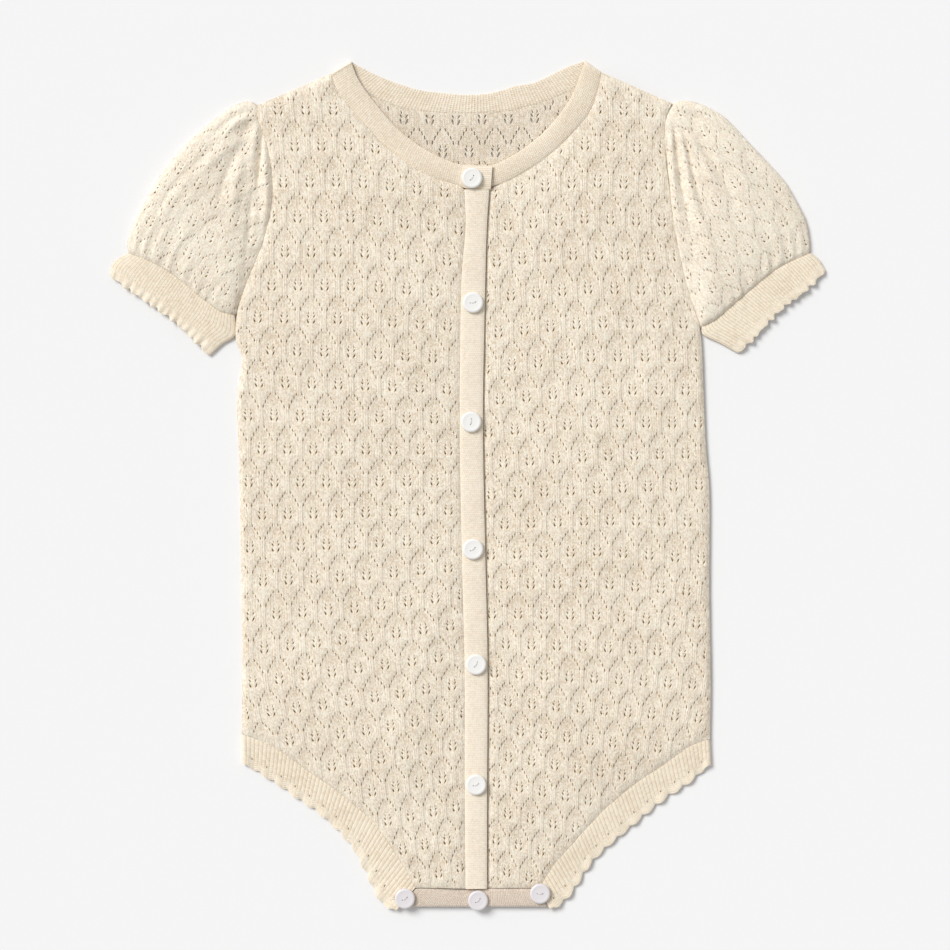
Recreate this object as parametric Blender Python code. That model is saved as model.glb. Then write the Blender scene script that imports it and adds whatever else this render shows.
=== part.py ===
"""Baby romper in pointelle knit, laid flat with its front up.

The body is one flat back under two fronts that button down the middle. Gathered puff
sleeves end in ribbed, scalloped cuffs. A ribbed band goes round the neck, and another
round each leg opening. Every piece of cloth is a wall of its own, a seam's gap from its
neighbours. Tables are in millimetres, with X to the wearer's left as seen from above the
front, Y to the neck and Z up from the surface that the garment lies on.
"""

import math
from typing import NamedTuple

import bmesh
import bpy
import numpy as np

MM = 0.001

# Cloth and layers, in millimetres
WALL = 1.3
SEAM_GAP = 0.4
LAYER_GAP = 0.3
RIB_RISE = 0.35
BACK_TOP = WALL
FRONT_LOW = BACK_TOP + LAYER_GAP
FRONT_TOP = FRONT_LOW + WALL
NECK_LOW = BACK_TOP + RIB_RISE + LAYER_GAP + 0.05
NECK_TOP = NECK_LOW + WALL
OVER_LOW = FRONT_TOP + 0.4
OVER_TOP = OVER_LOW + WALL
CROTCH_TOP = FRONT_LOW + 1.4

# Counts of what repeats
NECK_FRONT_RIBS = 52
NECK_BACK_RIBS = 80
CUFF_SCALLOPS = 11
LEG_SCALLOPS = 15
RIBS_PER_SCALLOP = 4
CUFF_GATHERS = 9
SCALLOP_DEPTH = 1.5
SCALLOP_LIFT = 0.4

# Loft of the cloth over the flat back
BODY_LOFT = 1.9
SLEEVE_LOFT = 2.9
SLEEVE_EDGE_TOP = 3.3
FOLD_EDGE_Z = 1.45
CUFF_TOP = 3.15
CUFF_EDGE_TOP = 2.95

# How far the flat backs of a tube's outer and inner faces stop short of its folded
# edges, as shares of its width
OUTER_INSET = 0.012
INNER_INSET = 0.034

# Buttons
FRONT_BUTTON_RADIUS = 5.2
CROTCH_BUTTON_RADIUS = 4.9
BUTTON_THICKNESS = 2.0
BUTTON_SEGMENTS = 18
HOLE_RADIUS = 0.75
HOLE_SEGMENTS = 8
HOLE_SPACING = 3.3


class Band(NamedTuple):
    """A line across a ribbed band, from its free edge to the edge sewn to the body."""

    free_x: float
    free_y: float
    seam_x: float
    seam_y: float


class Point(NamedTuple):
    x: float
    y: float


class Tape(NamedTuple):
    """The placket's two edges at one height on the garment."""

    y: float
    left: float
    right: float


class Row(NamedTuple):
    """Where one row of a front starts at its inner edge and ends at its outer edge."""

    inner_y: float
    outer_y: float


class Fold(NamedTuple):
    """A soft ridge, or a trough where rise is negative, along a straight line."""

    x0: float
    y0: float
    x1: float
    y1: float
    width: float
    rise: float


class Spot(NamedTuple):
    """A button's centre, the way its two holes point and the layer that it lies on."""

    x: float
    y: float
    turn: float
    low: float


# The neckband, from its top end at the front, over the shoulder and round the back
NECK_RIGHT = (
    Band(12.4, 160.0, 11.6, 148.2),
    Band(0.75, 160.2, 0.5, 148.4),
    Band(-4.85, 160.9, -6.6, 151.0),
    Band(-13.45, 164.05, -17.6, 154.3),
    Band(-22.05, 168.65, -27.9, 159.9),
    Band(-30.75, 175.0, -37.6, 166.9),
    Band(-36.25, 180.0, -43.8, 172.1),
    Band(-41.6, 185.85, -50.0, 179.6),
    Band(-49.05, 195.05, -58.4, 189.0),
    Band(-54.8, 203.65, -64.75, 197.0),
    Band(-58.25, 212.2, -68.3, 206.2),
)
NECK_BACK = (
    Band(-58.25, 212.2, -68.3, 206.2),
    Band(-50.25, 208.0, -54.05, 199.9),
    Band(-41.75, 204.0, -46.0, 194.7),
    Band(-30.25, 200.0, -33.0, 189.6),
    Band(-23.25, 198.0, -24.5, 187.9),
    Band(-12.0, 196.6, -12.5, 187.0),
    Band(0.25, 195.75, 0.5, 186.75),
    Band(10.0, 196.4, 10.3, 187.0),
    Band(17.25, 198.0, 19.5, 187.7),
    Band(23.25, 200.0, 26.2, 189.1),
    Band(33.75, 202.0, 37.5, 192.3),
    Band(42.25, 206.0, 47.0, 196.0),
    Band(50.75, 210.0, 56.0, 200.4),
    Band(58.75, 212.6, 67.1, 206.8),
)
NECK_LEFT = (
    Band(58.75, 212.6, 67.1, 206.8),
    Band(54.25, 200.0, 64.0, 194.0),
    Band(49.75, 191.2, 59.6, 184.9),
    Band(40.75, 179.5, 48.6, 172.5),
    Band(31.75, 171.5, 38.0, 163.3),
    Band(23.05, 165.5, 28.2, 156.8),
    Band(14.1, 161.0, 17.6, 151.5),
    Band(7.0, 159.6, 8.0, 149.4),
    Band(-2.0, 159.5, -2.0, 149.4),
)

# The placket that lies on top, from the neckband to the crotch
PLACKET = (
    Tape(147.8, -1.6, 10.9),
    Tape(128.0, -1.1, 9.6),
    Tape(99.0, -3.25, 8.8),
    Tape(32.0, -4.0, 7.7),
    Tape(-31.5, -3.0, 8.8),
    Tape(-89.0, -1.6, 10.0),
    Tape(-149.0, -1.5, 9.8),
    Tape(-201.0, -1.1, 9.7),
)

# The outer edge of each body half: shoulder tip, armhole, side
ARMHOLE_RIGHT = (
    Point(-104.75, 190.5),
    Point(-105.0, 184.0),
    Point(-102.4, 177.0),
    Point(-98.6, 162.0),
    Point(-97.75, 143.0),
    Point(-101.0, 126.5),
    Point(-103.75, 118.0),
    Point(-108.0, 107.5),
    Point(-112.25, 96.5),
    Point(-115.2, 86.5),
)
ARMHOLE_LEFT = (
    Point(102.25, 191.5),
    Point(99.2, 184.0),
    Point(98.3, 174.0),
    Point(99.25, 162.0),
    Point(100.75, 150.0),
    Point(102.6, 134.5),
    Point(106.05, 115.5),
    Point(109.5, 100.7),
    Point(113.75, 87.0),
    Point(116.2, 79.0),
)
SIDE_RIGHT = (
    Point(-115.9, 73.0),
    Point(-112.7, 63.0),
    Point(-115.2, 43.0),
    Point(-114.2, 10.0),
    Point(-113.0, -57.0),
    Point(-112.7, -97.0),
)
SIDE_LEFT = (
    Point(117.4, 66.0),
    Point(118.25, 43.0),
    Point(119.2, 20.0),
    Point(121.0, -5.0),
    Point(120.9, -50.0),
    Point(121.6, -97.0),
)

# The leg openings' bands, from the side seam to the crotch
LEG_RIGHT = (
    Band(-112.4, -138.4, -113.0, -124.0),
    Band(-103.2, -144.2, -101.5, -128.2),
    Band(-93.2, -150.6, -90.5, -134.8),
    Band(-84.6, -156.8, -79.5, -142.6),
    Band(-75.8, -162.6, -66.25, -151.8),
    Band(-66.3, -171.0, -57.25, -158.9),
    Band(-57.6, -181.0, -46.5, -168.6),
    Band(-51.8, -191.6, -37.75, -181.3),
    Band(-47.0, -201.6, -31.6, -190.4),
    Band(-42.4, -209.2, -28.4, -196.4),
    Band(-35.6, -212.2, -26.2, -200.9),
)
LEG_LEFT = (
    Band(121.6, -138.8, 121.2, -126.4),
    Band(111.0, -148.4, 110.75, -130.6),
    Band(99.2, -156.2, 96.5, -140.4),
    Band(88.6, -164.8, 83.5, -149.2),
    Band(78.4, -173.4, 70.0, -160.4),
    Band(69.4, -181.0, 60.75, -169.8),
    Band(61.6, -189.2, 51.2, -180.4),
    Band(55.6, -198.4, 44.2, -188.2),
    Band(51.6, -204.2, 39.6, -194.8),
    Band(46.6, -209.2, 37.4, -198.2),
    Band(41.2, -211.6, 35.5, -200.9),
)
CROTCH_RIGHT = Band(-33.6, -210.2, -25.8, -201.3)
CROTCH_LEFT = Band(39.6, -210.2, 35.0, -201.3)

# How the rows of a front run from its inner edge to its outer edge
ROWS_RIGHT = (
    Row(205.9, 190.5),
    Row(180.0, 170.0),
    Row(164.0, 155.0),
    Row(152.5, 142.0),
    Row(140.0, 128.0),
    Row(110.0, 106.0),
    Row(80.0, 78.0),
    Row(40.0, 40.0),
    Row(-20.0, -20.0),
    Row(-80.0, -80.0),
    Row(-120.0, -116.0),
    Row(-142.0, -132.0),
    Row(-158.0, -148.0),
    Row(-173.0, -163.0),
    Row(-188.0, -181.0),
    Row(-200.9, -200.9),
)
ROWS_LEFT = (
    Row(206.4, 191.5),
    Row(180.0, 171.0),
    Row(164.0, 155.0),
    Row(152.5, 142.0),
    Row(140.0, 128.0),
    Row(110.0, 106.0),
    Row(80.0, 78.0),
    Row(40.0, 40.0),
    Row(-20.0, -20.0),
    Row(-80.0, -80.0),
    Row(-120.0, -116.0),
    Row(-142.0, -132.0),
    Row(-158.0, -148.0),
    Row(-173.0, -163.0),
    Row(-188.0, -181.0),
    Row(-200.9, -200.9),
)

# Sleeves: the folded top edge, the seam to the cuff and the cuff's own free edges
SLEEVE_TOP_RIGHT = (
    Point(-170.2, 122.0),
    Point(-166.25, 133.0),
    Point(-160.75, 143.0),
    Point(-155.25, 153.0),
    Point(-147.75, 163.0),
    Point(-138.75, 173.0),
    Point(-128.25, 182.0),
    Point(-117.25, 190.0),
    Point(-109.5, 192.5),
)
SLEEVE_TOP_LEFT = (
    Point(171.2, 123.0),
    Point(169.2, 133.0),
    Point(164.25, 143.0),
    Point(158.25, 153.0),
    Point(149.25, 163.0),
    Point(139.75, 173.0),
    Point(129.25, 184.0),
    Point(119.25, 190.0),
    Point(110.0, 192.8),
)
CUFF_SEAM_RIGHT = (
    Point(-169.6, 116.4),
    Point(-157.9, 112.0),
    Point(-147.75, 106.0),
    Point(-138.95, 99.0),
    Point(-130.35, 92.0),
    Point(-123.45, 87.2),
    Point(-116.6, 85.4),
)
CUFF_SEAM_LEFT = (
    Point(171.3, 116.4),
    Point(157.25, 110.0),
    Point(146.65, 102.2),
    Point(135.75, 93.0),
    Point(124.5, 83.4),
    Point(117.3, 79.6),
)
CUFF_FREE_RIGHT = (
    Point(-178.9, 106.8),
    Point(-169.6, 98.2),
    Point(-158.6, 90.6),
    Point(-146.8, 82.2),
    Point(-137.4, 73.4),
    Point(-129.5, 65.4),
)
CUFF_FREE_LEFT = (
    Point(178.9, 107.4),
    Point(169.2, 97.6),
    Point(158.2, 89.4),
    Point(149.8, 81.0),
    Point(142.4, 72.8),
    Point(135.6, 66.8),
)
CUFF_TOP_RIGHT = Point(-174.6, 113.4)
CUFF_TOP_LEFT = Point(175.3, 113.2)
CUFF_UNDER_RIGHT = Point(-116.8, 77.0), Point(-121.4, 71.6)
CUFF_UNDER_LEFT = Point(118.3, 75.8), Point(127.0, 71.6)

# Gathers that fan out from the shoulder tip, and the long pleats by the armhole
GATHERS_RIGHT = (
    Fold(-107.5, 186.5, -123.0, 179.0, 3.4, 1.5),
    Fold(-108.0, 182.0, -120.0, 171.0, 2.2, -0.5),
    Fold(-105.5, 180.0, -112.5, 146.0, 3.2, 1.2),
    Fold(-110.0, 178.0, -128.0, 152.0, 3.0, 0.9),
    Fold(-104.8, 168.0, -104.6, 147.0, 1.7, -0.5),
    Fold(-102.4, 174.0, -102.6, 122.0, 2.4, 1.0),
    Fold(-122.0, 176.0, -137.0, 147.0, 4.2, 0.7),
    Fold(-134.0, 166.0, -150.0, 136.0, 4.0, 0.6),
    Fold(-118.0, 150.0, -128.0, 112.0, 5.0, 0.6),
)
GATHERS_LEFT = (
    Fold(106.5, 188.5, 132.0, 176.0, 3.4, 1.5),
    Fold(105.0, 183.0, 124.0, 172.0, 2.2, -0.5),
    Fold(101.2, 180.0, 110.0, 114.0, 2.4, 1.1),
    Fold(106.0, 180.0, 117.0, 118.0, 3.0, 1.2),
    Fold(103.6, 172.0, 108.0, 146.0, 1.7, -0.5),
    Fold(110.0, 180.0, 128.0, 146.0, 3.0, 0.9),
    Fold(118.0, 178.0, 142.0, 150.0, 4.0, 0.8),
    Fold(136.0, 165.0, 154.0, 134.0, 4.2, 0.6),
    Fold(122.0, 146.0, 136.0, 110.0, 5.0, 0.6),
)
BODY_FOLDS_RIGHT = (
    Fold(-6.0, -25.0, -38.0, -158.0, 8.0, 0.6),
    Fold(-6.0, -60.0, -20.0, -165.0, 6.0, -0.4),
    Fold(-95.0, 95.0, -70.0, 10.0, 10.0, 0.4),
    Fold(-60.0, 20.0, -82.0, -120.0, 12.0, 0.4),
)
BODY_FOLDS_LEFT = (
    Fold(22.0, -40.0, 60.0, -150.0, 8.0, 0.5),
    Fold(16.0, -80.0, 40.0, -165.0, 6.0, -0.3),
    Fold(98.0, 90.0, 84.0, -10.0, 10.0, 0.5),
    Fold(62.0, 100.0, 66.0, -60.0, 12.0, 0.3),
)

# Buttons down the front, from the neck, and along the crotch
FRONT_BUTTONS = (
    Spot(2.25, 153.6, 55.0, OVER_TOP + RIB_RISE),
    Spot(2.75, 91.5, 10.0, OVER_TOP),
    Spot(1.75, 32.0, 80.0, OVER_TOP),
    Spot(2.75, -31.5, 35.0, OVER_TOP),
    Spot(4.25, -89.0, 60.0, OVER_TOP),
    Spot(4.25, -149.0, 20.0, OVER_TOP),
)
CROTCH_BUTTONS = (
    Spot(-31.25, -206.0, 30.0, FRONT_TOP + RIB_RISE),
    Spot(5.25, -207.0, 40.0, CROTCH_TOP),
    Spot(36.25, -203.5, 0.0, FRONT_TOP + RIB_RISE),
)

# Base colour, roughness and metallic value of each cloth and of the buttons
BODY_KNIT = ((0.799, 0.701, 0.565), 0.9, 0.0)
SLEEVE_KNIT = ((0.855, 0.755, 0.610), 0.9, 0.0)
INSIDE_KNIT = ((0.745, 0.665, 0.552), 0.9, 0.0)
RIB_KNIT = ((0.830, 0.715, 0.565), 0.88, 0.0)
TAPE_KNIT = ((0.855, 0.761, 0.624), 0.85, 0.0)
BUTTON_GLOSS = ((0.896, 0.880, 0.880), 0.25, 0.0)


class Path:
    """A smooth curve through points in plan, read by the share of its length."""

    def __init__(self, points, steps=12):
        knots = np.array([(p[0], p[1]) for p in points], dtype=float)
        ends = (2 * knots[0] - knots[1], 2 * knots[-1] - knots[-2])
        hull = np.vstack([ends[0], knots, ends[1]])
        share = np.linspace(0.0, 1.0, steps, endpoint=False)[:, None]
        spans = [self._span(hull[i : i + 4], share) for i in range(len(knots) - 1)]
        self.dense = np.vstack(spans + [knots[-1:]])
        strides = np.linalg.norm(np.diff(self.dense, axis=0), axis=1)
        self.length = float(strides.sum())
        self.share = np.concatenate([[0.0], np.cumsum(strides)]) / self.length

    def first_spans(self, count, steps=12):
        """The curve through its first points only, count spans long."""
        return Path(self.dense[: count * steps + 1], steps=1)

    @staticmethod
    def _span(four, t):
        before, start, end, after = four
        slope_in = (end - before) / 2
        slope_out = (after - start) / 2
        rest = 2 * t**3 - 3 * t**2 + 1
        return (
            rest * start
            + (t**3 - 2 * t**2 + t) * slope_in
            + (1 - rest) * end
            + (t**3 - t**2) * slope_out
        )

    def at(self, t):
        """The point, or points, at share t of the length."""
        x = np.interp(t, self.share, self.dense[:, 0])
        y = np.interp(t, self.share, self.dense[:, 1])
        return np.stack([x, y], axis=-1)

    def x_at(self, y):
        """X where the curve, which runs down the garment, passes y."""
        return np.interp(-np.asarray(y), -self.dense[:, 1], self.dense[:, 0])

    def shifted(self, gap):
        """The curve moved sideways by gap, to its left."""
        ahead = np.gradient(self.dense, axis=0)
        side = np.stack([-ahead[:, 1], ahead[:, 0]], axis=1)
        side /= np.linalg.norm(side, axis=1)[:, None]
        return Path(self.dense + gap * side, steps=1)


def free_path(bands):
    return Path([Point(b.free_x, b.free_y) for b in bands])


def seam_path(bands):
    return Path([Point(b.seam_x, b.seam_y) for b in bands])


def ease(value):
    """A smooth step from 0 to 1 as value goes from 0 to 1."""
    share = np.clip(value, 0.0, 1.0)
    return share * share * (3 - 2 * share)


def folds_rise(folds, x, y):
    """What a table of folds adds to the cloth's height at x, y."""
    total = np.zeros_like(np.asarray(x, dtype=float))
    for fold in folds:
        run = np.array([fold.x1 - fold.x0, fold.y1 - fold.y0])
        length = float(np.linalg.norm(run))
        along = ((x - fold.x0) * run[0] + (y - fold.y0) * run[1]) / length**2
        across = ((x - fold.x0) * run[1] - (y - fold.y0) * run[0]) / length
        fade = ease((along + 0.12) / 0.2) * ease((1.15 - along) / 0.45)
        total = total + fold.rise * fade * np.exp(-((across / fold.width) ** 2))
    return total


def lifted(plan, z):
    """Points in plan, with their heights."""
    flat = np.asarray(plan, dtype=float)
    height = np.broadcast_to(np.asarray(z, dtype=float), flat.shape[:-1])
    return np.concatenate([flat, height[..., None]], axis=-1)


def zip_faces(dense, sparse):
    """Faces between a run of vertices and the two vertices that face its ends."""
    if len(dense) == 2:
        return [(dense[0], dense[1], sparse[1], sparse[0])]
    middle = (len(dense) - 1) // 2
    faces = [(sparse[0], dense[middle], sparse[1])]
    for i in range(len(dense) - 1):
        apex = sparse[0] if i < middle else sparse[1]
        faces.append((dense[i], dense[i + 1], apex))
    return faces


def plain_material(name, finish):
    """A Principled BSDF with one colour, roughness and metallic value."""
    colour, roughness, metallic = finish
    material = bpy.data.materials.new(name)
    material.use_nodes = True
    shader = material.node_tree.nodes["Principled BSDF"]
    shader.inputs["Base Color"].default_value = (*colour, 1.0)
    shader.inputs["Roughness"].default_value = roughness
    shader.inputs["Metallic"].default_value = metallic
    return material


class Solid:
    """Collects vertices, in millimetres, and faces for one closed body."""

    def __init__(self):
        self.mesh = bmesh.new()

    def points(self, rows):
        """Adds points and gives their vertices back in the same nesting."""
        if np.ndim(rows) == 1:
            return self.mesh.verts.new([float(value) * MM for value in rows])
        return [self.points(row) for row in rows]

    def faces(self, corner_lists):
        for corners in corner_lists:
            self.mesh.faces.new(corners)

    def grid(self, rows):
        """Quads between neighbouring rows of vertices."""
        for low, high in zip(rows[:-1], rows[1:]):
            for i in range(len(low) - 1):
                self.mesh.faces.new((low[i], low[i + 1], high[i + 1], high[i]))

    def finish(self, name, finish):
        """Makes the object, with its faces pointing out."""
        bmesh.ops.recalc_face_normals(self.mesh, faces=self.mesh.faces[:])
        mesh = bpy.data.meshes.new(name)
        self.mesh.to_mesh(mesh)
        self.mesh.free()
        mesh.materials.append(plain_material(name, finish))
        piece = bpy.data.objects.new(name, mesh)
        bpy.context.scene.collection.objects.link(piece)
        return piece


class Station(NamedTuple):
    """A line across a band. Its outside or its inside is left out between full ones."""

    outside: object
    inside: object


def band_solid(name, stations, finish):
    """A band from stations of (free edge, seam edge) points on its two faces."""
    solid = Solid()
    outside = [None if s.outside is None else solid.points(s.outside) for s in stations]
    inside = [None if s.inside is None else solid.points(s.inside) for s in stations]
    full = [i for i in range(len(stations)) if outside[i] and inside[i]]
    for first, last in zip(full[:-1], full[1:]):
        outer = [v for v in outside[first : last + 1] if v]
        inner = [v for v in inside[first : last + 1] if v]
        solid.grid(outer)
        solid.grid(inner)
        for edge in (0, 1):
            dense, sparse = (outer, inner) if len(outer) >= len(inner) else (inner, outer)
            solid.faces(zip_faces([v[edge] for v in dense], [v[edge] for v in sparse]))
    for end in (0, -1):
        solid.faces([(*outside[end], *reversed(inside[end]))])
    return solid.finish(name, finish)


def rails(bands, start_cut=0.0, end_cut=0.0):
    """The band's two edges as one function of the share of their length."""
    paths = (free_path(bands), seam_path(bands))

    def across(t):
        ends = []
        for path in paths:
            first = start_cut / path.length
            last = 1.0 - end_cut / path.length
            ends.append(path.at(first + (last - first) * t))
        return np.array(ends)

    return across


def turn_stations(start, end, toward, outer_radius, inner_radius, down, steps=4):
    """Stations round a fold, from the front down to the back or up again."""
    stations = []
    for step in range(1, steps):
        axis = start + (end - start) * step / steps
        line = axis[0] - axis[1]
        away = np.array([-line[1], line[0]]) / np.linalg.norm(line)
        away = away * np.sign(np.dot(away, toward))
        angle = math.pi * (0.5 - step / steps) * (1 if down else -1)
        reach = math.cos(angle)
        level = math.sin(angle)
        outside = lifted(axis + outer_radius * reach * away, outer_radius * (1 + level))
        inside = lifted(axis + inner_radius * reach * away, outer_radius + inner_radius * level)
        stations.append(Station(outside, inside))
    return stations


def neckband():
    """One ribbed strip: over the placket, round the back and under the placket."""
    radius = NECK_TOP / 2
    inner_radius = (NECK_LOW - BACK_TOP) / 2
    right_out = np.array([-1.0, 0.5])
    left_out = np.array([1.0, 0.5])
    right = rails(NECK_RIGHT, end_cut=radius)
    back = rails(NECK_BACK, start_cut=radius, end_cut=radius)
    left = rails(NECK_LEFT, start_cut=radius)

    def front_run(across, low_at):
        run = []
        for i in range(2 * NECK_FRONT_RIBS + 1):
            plan = across(i / (2 * NECK_FRONT_RIBS))
            low, ribbed = low_at(float(plan[0, 0]))
            top = low + WALL + (RIB_RISE * ribbed if i % 2 else 0.0)
            inside = lifted(plan, low) if i % 4 == 0 else None
            run.append(Station(lifted(plan, top), inside))
        return run

    def over_low(x):
        return NECK_LOW + (OVER_LOW - NECK_LOW) * ease((x + 40.0) / 28.0), 1.0

    def under_low(x):
        return FRONT_LOW + (NECK_LOW - FRONT_LOW) * ease((x - 13.5) / 6.0), ease((x - 13.0) / 2.0)

    around = []
    for i in range(2 * NECK_BACK_RIBS + 1):
        plan = back(i / (2 * NECK_BACK_RIBS))
        top = BACK_TOP + (RIB_RISE if i % 2 else 0.0)
        outside = lifted(plan, 0.0) if i % 4 == 0 else None
        around.append(Station(outside, lifted(plan, top)))
    right_turn = turn_stations(right(1.0), back(0.0), right_out, radius, inner_radius, True)
    left_turn = turn_stations(back(1.0), left(0.0), left_out, radius, inner_radius, False)
    stations = front_run(right, over_low) + right_turn + around + left_turn
    stations += front_run(left, under_low)
    return band_solid("neckband", stations, RIB_KNIT)


def scallop(t, count):
    """Rises from 0 to 1 and back over each of count scallops."""
    return abs(math.sin(math.pi * count * t))


def leg_band(name, bands, toward):
    """A ribbed, scalloped strip folded round the side seam: crotch, side, crotch."""
    radius = FRONT_TOP / 2
    inner_radius = (FRONT_LOW - BACK_TOP) / 2
    plain = rails(bands[::-1], end_cut=radius)

    def across(t):
        ends = plain(t)
        outward = (ends[0] - ends[1]) / np.linalg.norm(ends[0] - ends[1])
        fade = ease(t / 0.04) * ease((1.0 - t) / 0.04)
        reach = SCALLOP_DEPTH * (scallop(t, LEG_SCALLOPS) - 0.6) * fade
        ends[0] = ends[0] + reach * outward
        return ends, scallop(t, LEG_SCALLOPS) * fade

    columns = 2 * RIBS_PER_SCALLOP * LEG_SCALLOPS
    front = []
    for i in range(columns + 1):
        ends, wave = across(i / columns)
        top = FRONT_TOP + (RIB_RISE if i % 2 else 0.0)
        lift = np.array([SCALLOP_LIFT * wave, 0.0])
        inside = lifted(ends, FRONT_LOW) if i % 4 == 0 else None
        front.append(Station(lifted(ends, top + lift), inside))
    back = []
    for i in range(2 * LEG_SCALLOPS, -1, -1):
        ends, _ = across(i / (2 * LEG_SCALLOPS))
        back.append(Station(lifted(ends, 0.0), lifted(ends, BACK_TOP)))
    turn = turn_stations(plain(1.0), plain(1.0), toward, radius, inner_radius, True)
    return band_solid(name, front + turn + back, RIB_KNIT)


def front_panel(name, inner, outer, rows, height, folds, columns=12, count=60):
    """A front: its top follows height and folds, over a plainer inside."""
    marks = np.linspace(0.0, 1.0, len(rows))
    shares = np.linspace(0.0, 1.0, count + 1)
    inner_y = np.interp(shares, marks, [row.inner_y for row in rows])
    outer_y = np.interp(shares, marks, [row.outer_y for row in rows])
    start = np.stack([inner.x_at(inner_y), inner_y], axis=1)
    end = np.stack([outer.x_at(outer_y), outer_y], axis=1)
    solid = Solid()
    across = np.linspace(0.0, 1.0, columns + 1)
    top_rows = []
    low_rows = []
    for y, a, b in zip(inner_y, start, end):
        plan = a + (b - a) * across[:, None]
        base = height(across, y)
        rise = folds_rise(folds, plan[:, 0], plan[:, 1]) * np.sin(math.pi * across) ** 0.5
        sparse = slice(None, None, 4)
        top_rows.append(solid.points(lifted(plan, base + rise)))
        low_rows.append(solid.points(lifted(plan[sparse], base[sparse] - WALL)))
    solid.grid(top_rows)
    solid.grid(low_rows)
    for side in (0, -1):
        solid.grid([[row[side] for row in top_rows], [row[side] for row in low_rows]])
    for end_row in (0, -1):
        top, low = top_rows[end_row], low_rows[end_row]
        for i in range(len(low) - 1):
            solid.faces(zip_faces(top[4 * i : 4 * i + 5], low[i : i + 2]))
    return solid.finish(name, BODY_KNIT)


def slab(name, outline, low, top, finish):
    """A flat wall with a given outline."""
    solid = Solid()
    lower = solid.points(lifted(outline, low))
    upper = solid.points(lifted(outline, top))
    solid.faces([lower, upper])
    solid.grid([lower + lower[:1], upper + upper[:1]])
    return solid.finish(name, finish)


def patch(start_edge, end_edge, top_edge, under_edge):
    """Plan of a sleeve or cuff: u from its folded top to the underarm, v along it."""
    corner_a, corner_b = start_edge.at(0.0), start_edge.at(1.0)
    corner_c, corner_d = end_edge.at(0.0), end_edge.at(1.0)

    def plan(u, v):
        u = np.asarray(u, dtype=float)
        v = np.asarray(v, dtype=float)
        across = (1 - v)[..., None] * start_edge.at(u) + v[..., None] * end_edge.at(u)
        along = (1 - u)[..., None] * top_edge.at(v) + u[..., None] * under_edge.at(v)
        low = (1 - u)[..., None] * corner_a + u[..., None] * corner_b
        high = (1 - u)[..., None] * corner_c + u[..., None] * corner_d
        return across + along - (1 - v)[..., None] * low - v[..., None] * high

    return plan


class Tube(NamedTuple):
    """How finely a flattened tube is divided: round it, along it and on its back."""

    columns: int
    rows: int
    inner_rows: int
    back_start: int
    back_end: int
    stride: int


def flat_tube(name, plan, outer_top, inner_top, tube, finish, skirt=None):
    """A tube that lies flat: a shaped front, folded edges and a flat back."""
    solid = Solid()

    def shell(front_u, front_v, top, lowest, inset):
        u, v = np.meshgrid(front_u, front_v)
        place = plan(u, v)
        if skirt is not None:
            place = place + skirt(u, v)
        front = solid.points(lifted(place, top(u, v, place)))
        backs = []
        for end, count in ((0, tube.back_start), (-1, tube.back_end)):
            back_u = np.linspace(1.0 - inset, inset, count + 1)
            back_v = np.full_like(back_u, front_v[end])
            spots = plan(back_u, back_v)
            if skirt is not None:
                spots = spots + skirt(back_u, back_v)
            backs.append(solid.points(lifted(spots, lowest)))
        sides = []
        for side_u in (inset, 1.0 - inset):
            middle_v = np.asarray(front_v[1:-1])
            middle = solid.points(lifted(plan(np.full_like(middle_v, side_u), middle_v), lowest))
            first, last = (-1, -1) if side_u < 0.5 else (0, 0)
            sides.append([backs[0][first], *middle, backs[1][last]])
        solid.grid(front)
        solid.grid([[row[0] for row in front], sides[0]])
        solid.grid([[row[-1] for row in front], sides[1]])
        loop = backs[0] + sides[0][1:-1] + backs[1][::-1] + sides[1][-2:0:-1]
        solid.faces([loop])
        return front, backs

    turn = np.linspace(0.0, 1.0, tube.columns + 1)
    outer_v = np.linspace(0, 1, tube.rows + 1)
    outer, outer_backs = shell(turn, outer_v, outer_top, 0.0, OUTER_INSET)
    inner_turn = INNER_INSET + (1 - 2 * INNER_INSET) * turn[:: tube.stride]
    inner_v = np.linspace(0, 1, tube.inner_rows + 1)
    inner, inner_backs = shell(inner_turn, inner_v, inner_top, BACK_TOP, INNER_INSET + 0.006)
    for end in (0, -1):
        dense, sparse = outer[end], inner[end]
        backs, inner_back = outer_backs[end], inner_backs[end]
        for i in range(len(sparse) - 1):
            first = tube.stride * i
            solid.faces(zip_faces(dense[first : first + tube.stride + 1], sparse[i : i + 2]))
        solid.grid([backs, inner_back])
        solid.faces([(dense[-1], backs[0], inner_back[0], sparse[-1])])
        solid.faces([(backs[-1], dense[0], sparse[0], inner_back[-1])])
    return solid.finish(name, finish)


def edge_round(u):
    """Rises from 0 at a folded edge to 1 over the middle of a flattened tube."""
    return np.sqrt(np.clip(1.0 - np.abs(2 * u - 1) ** 5, 0.0, 1.0))


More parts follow.
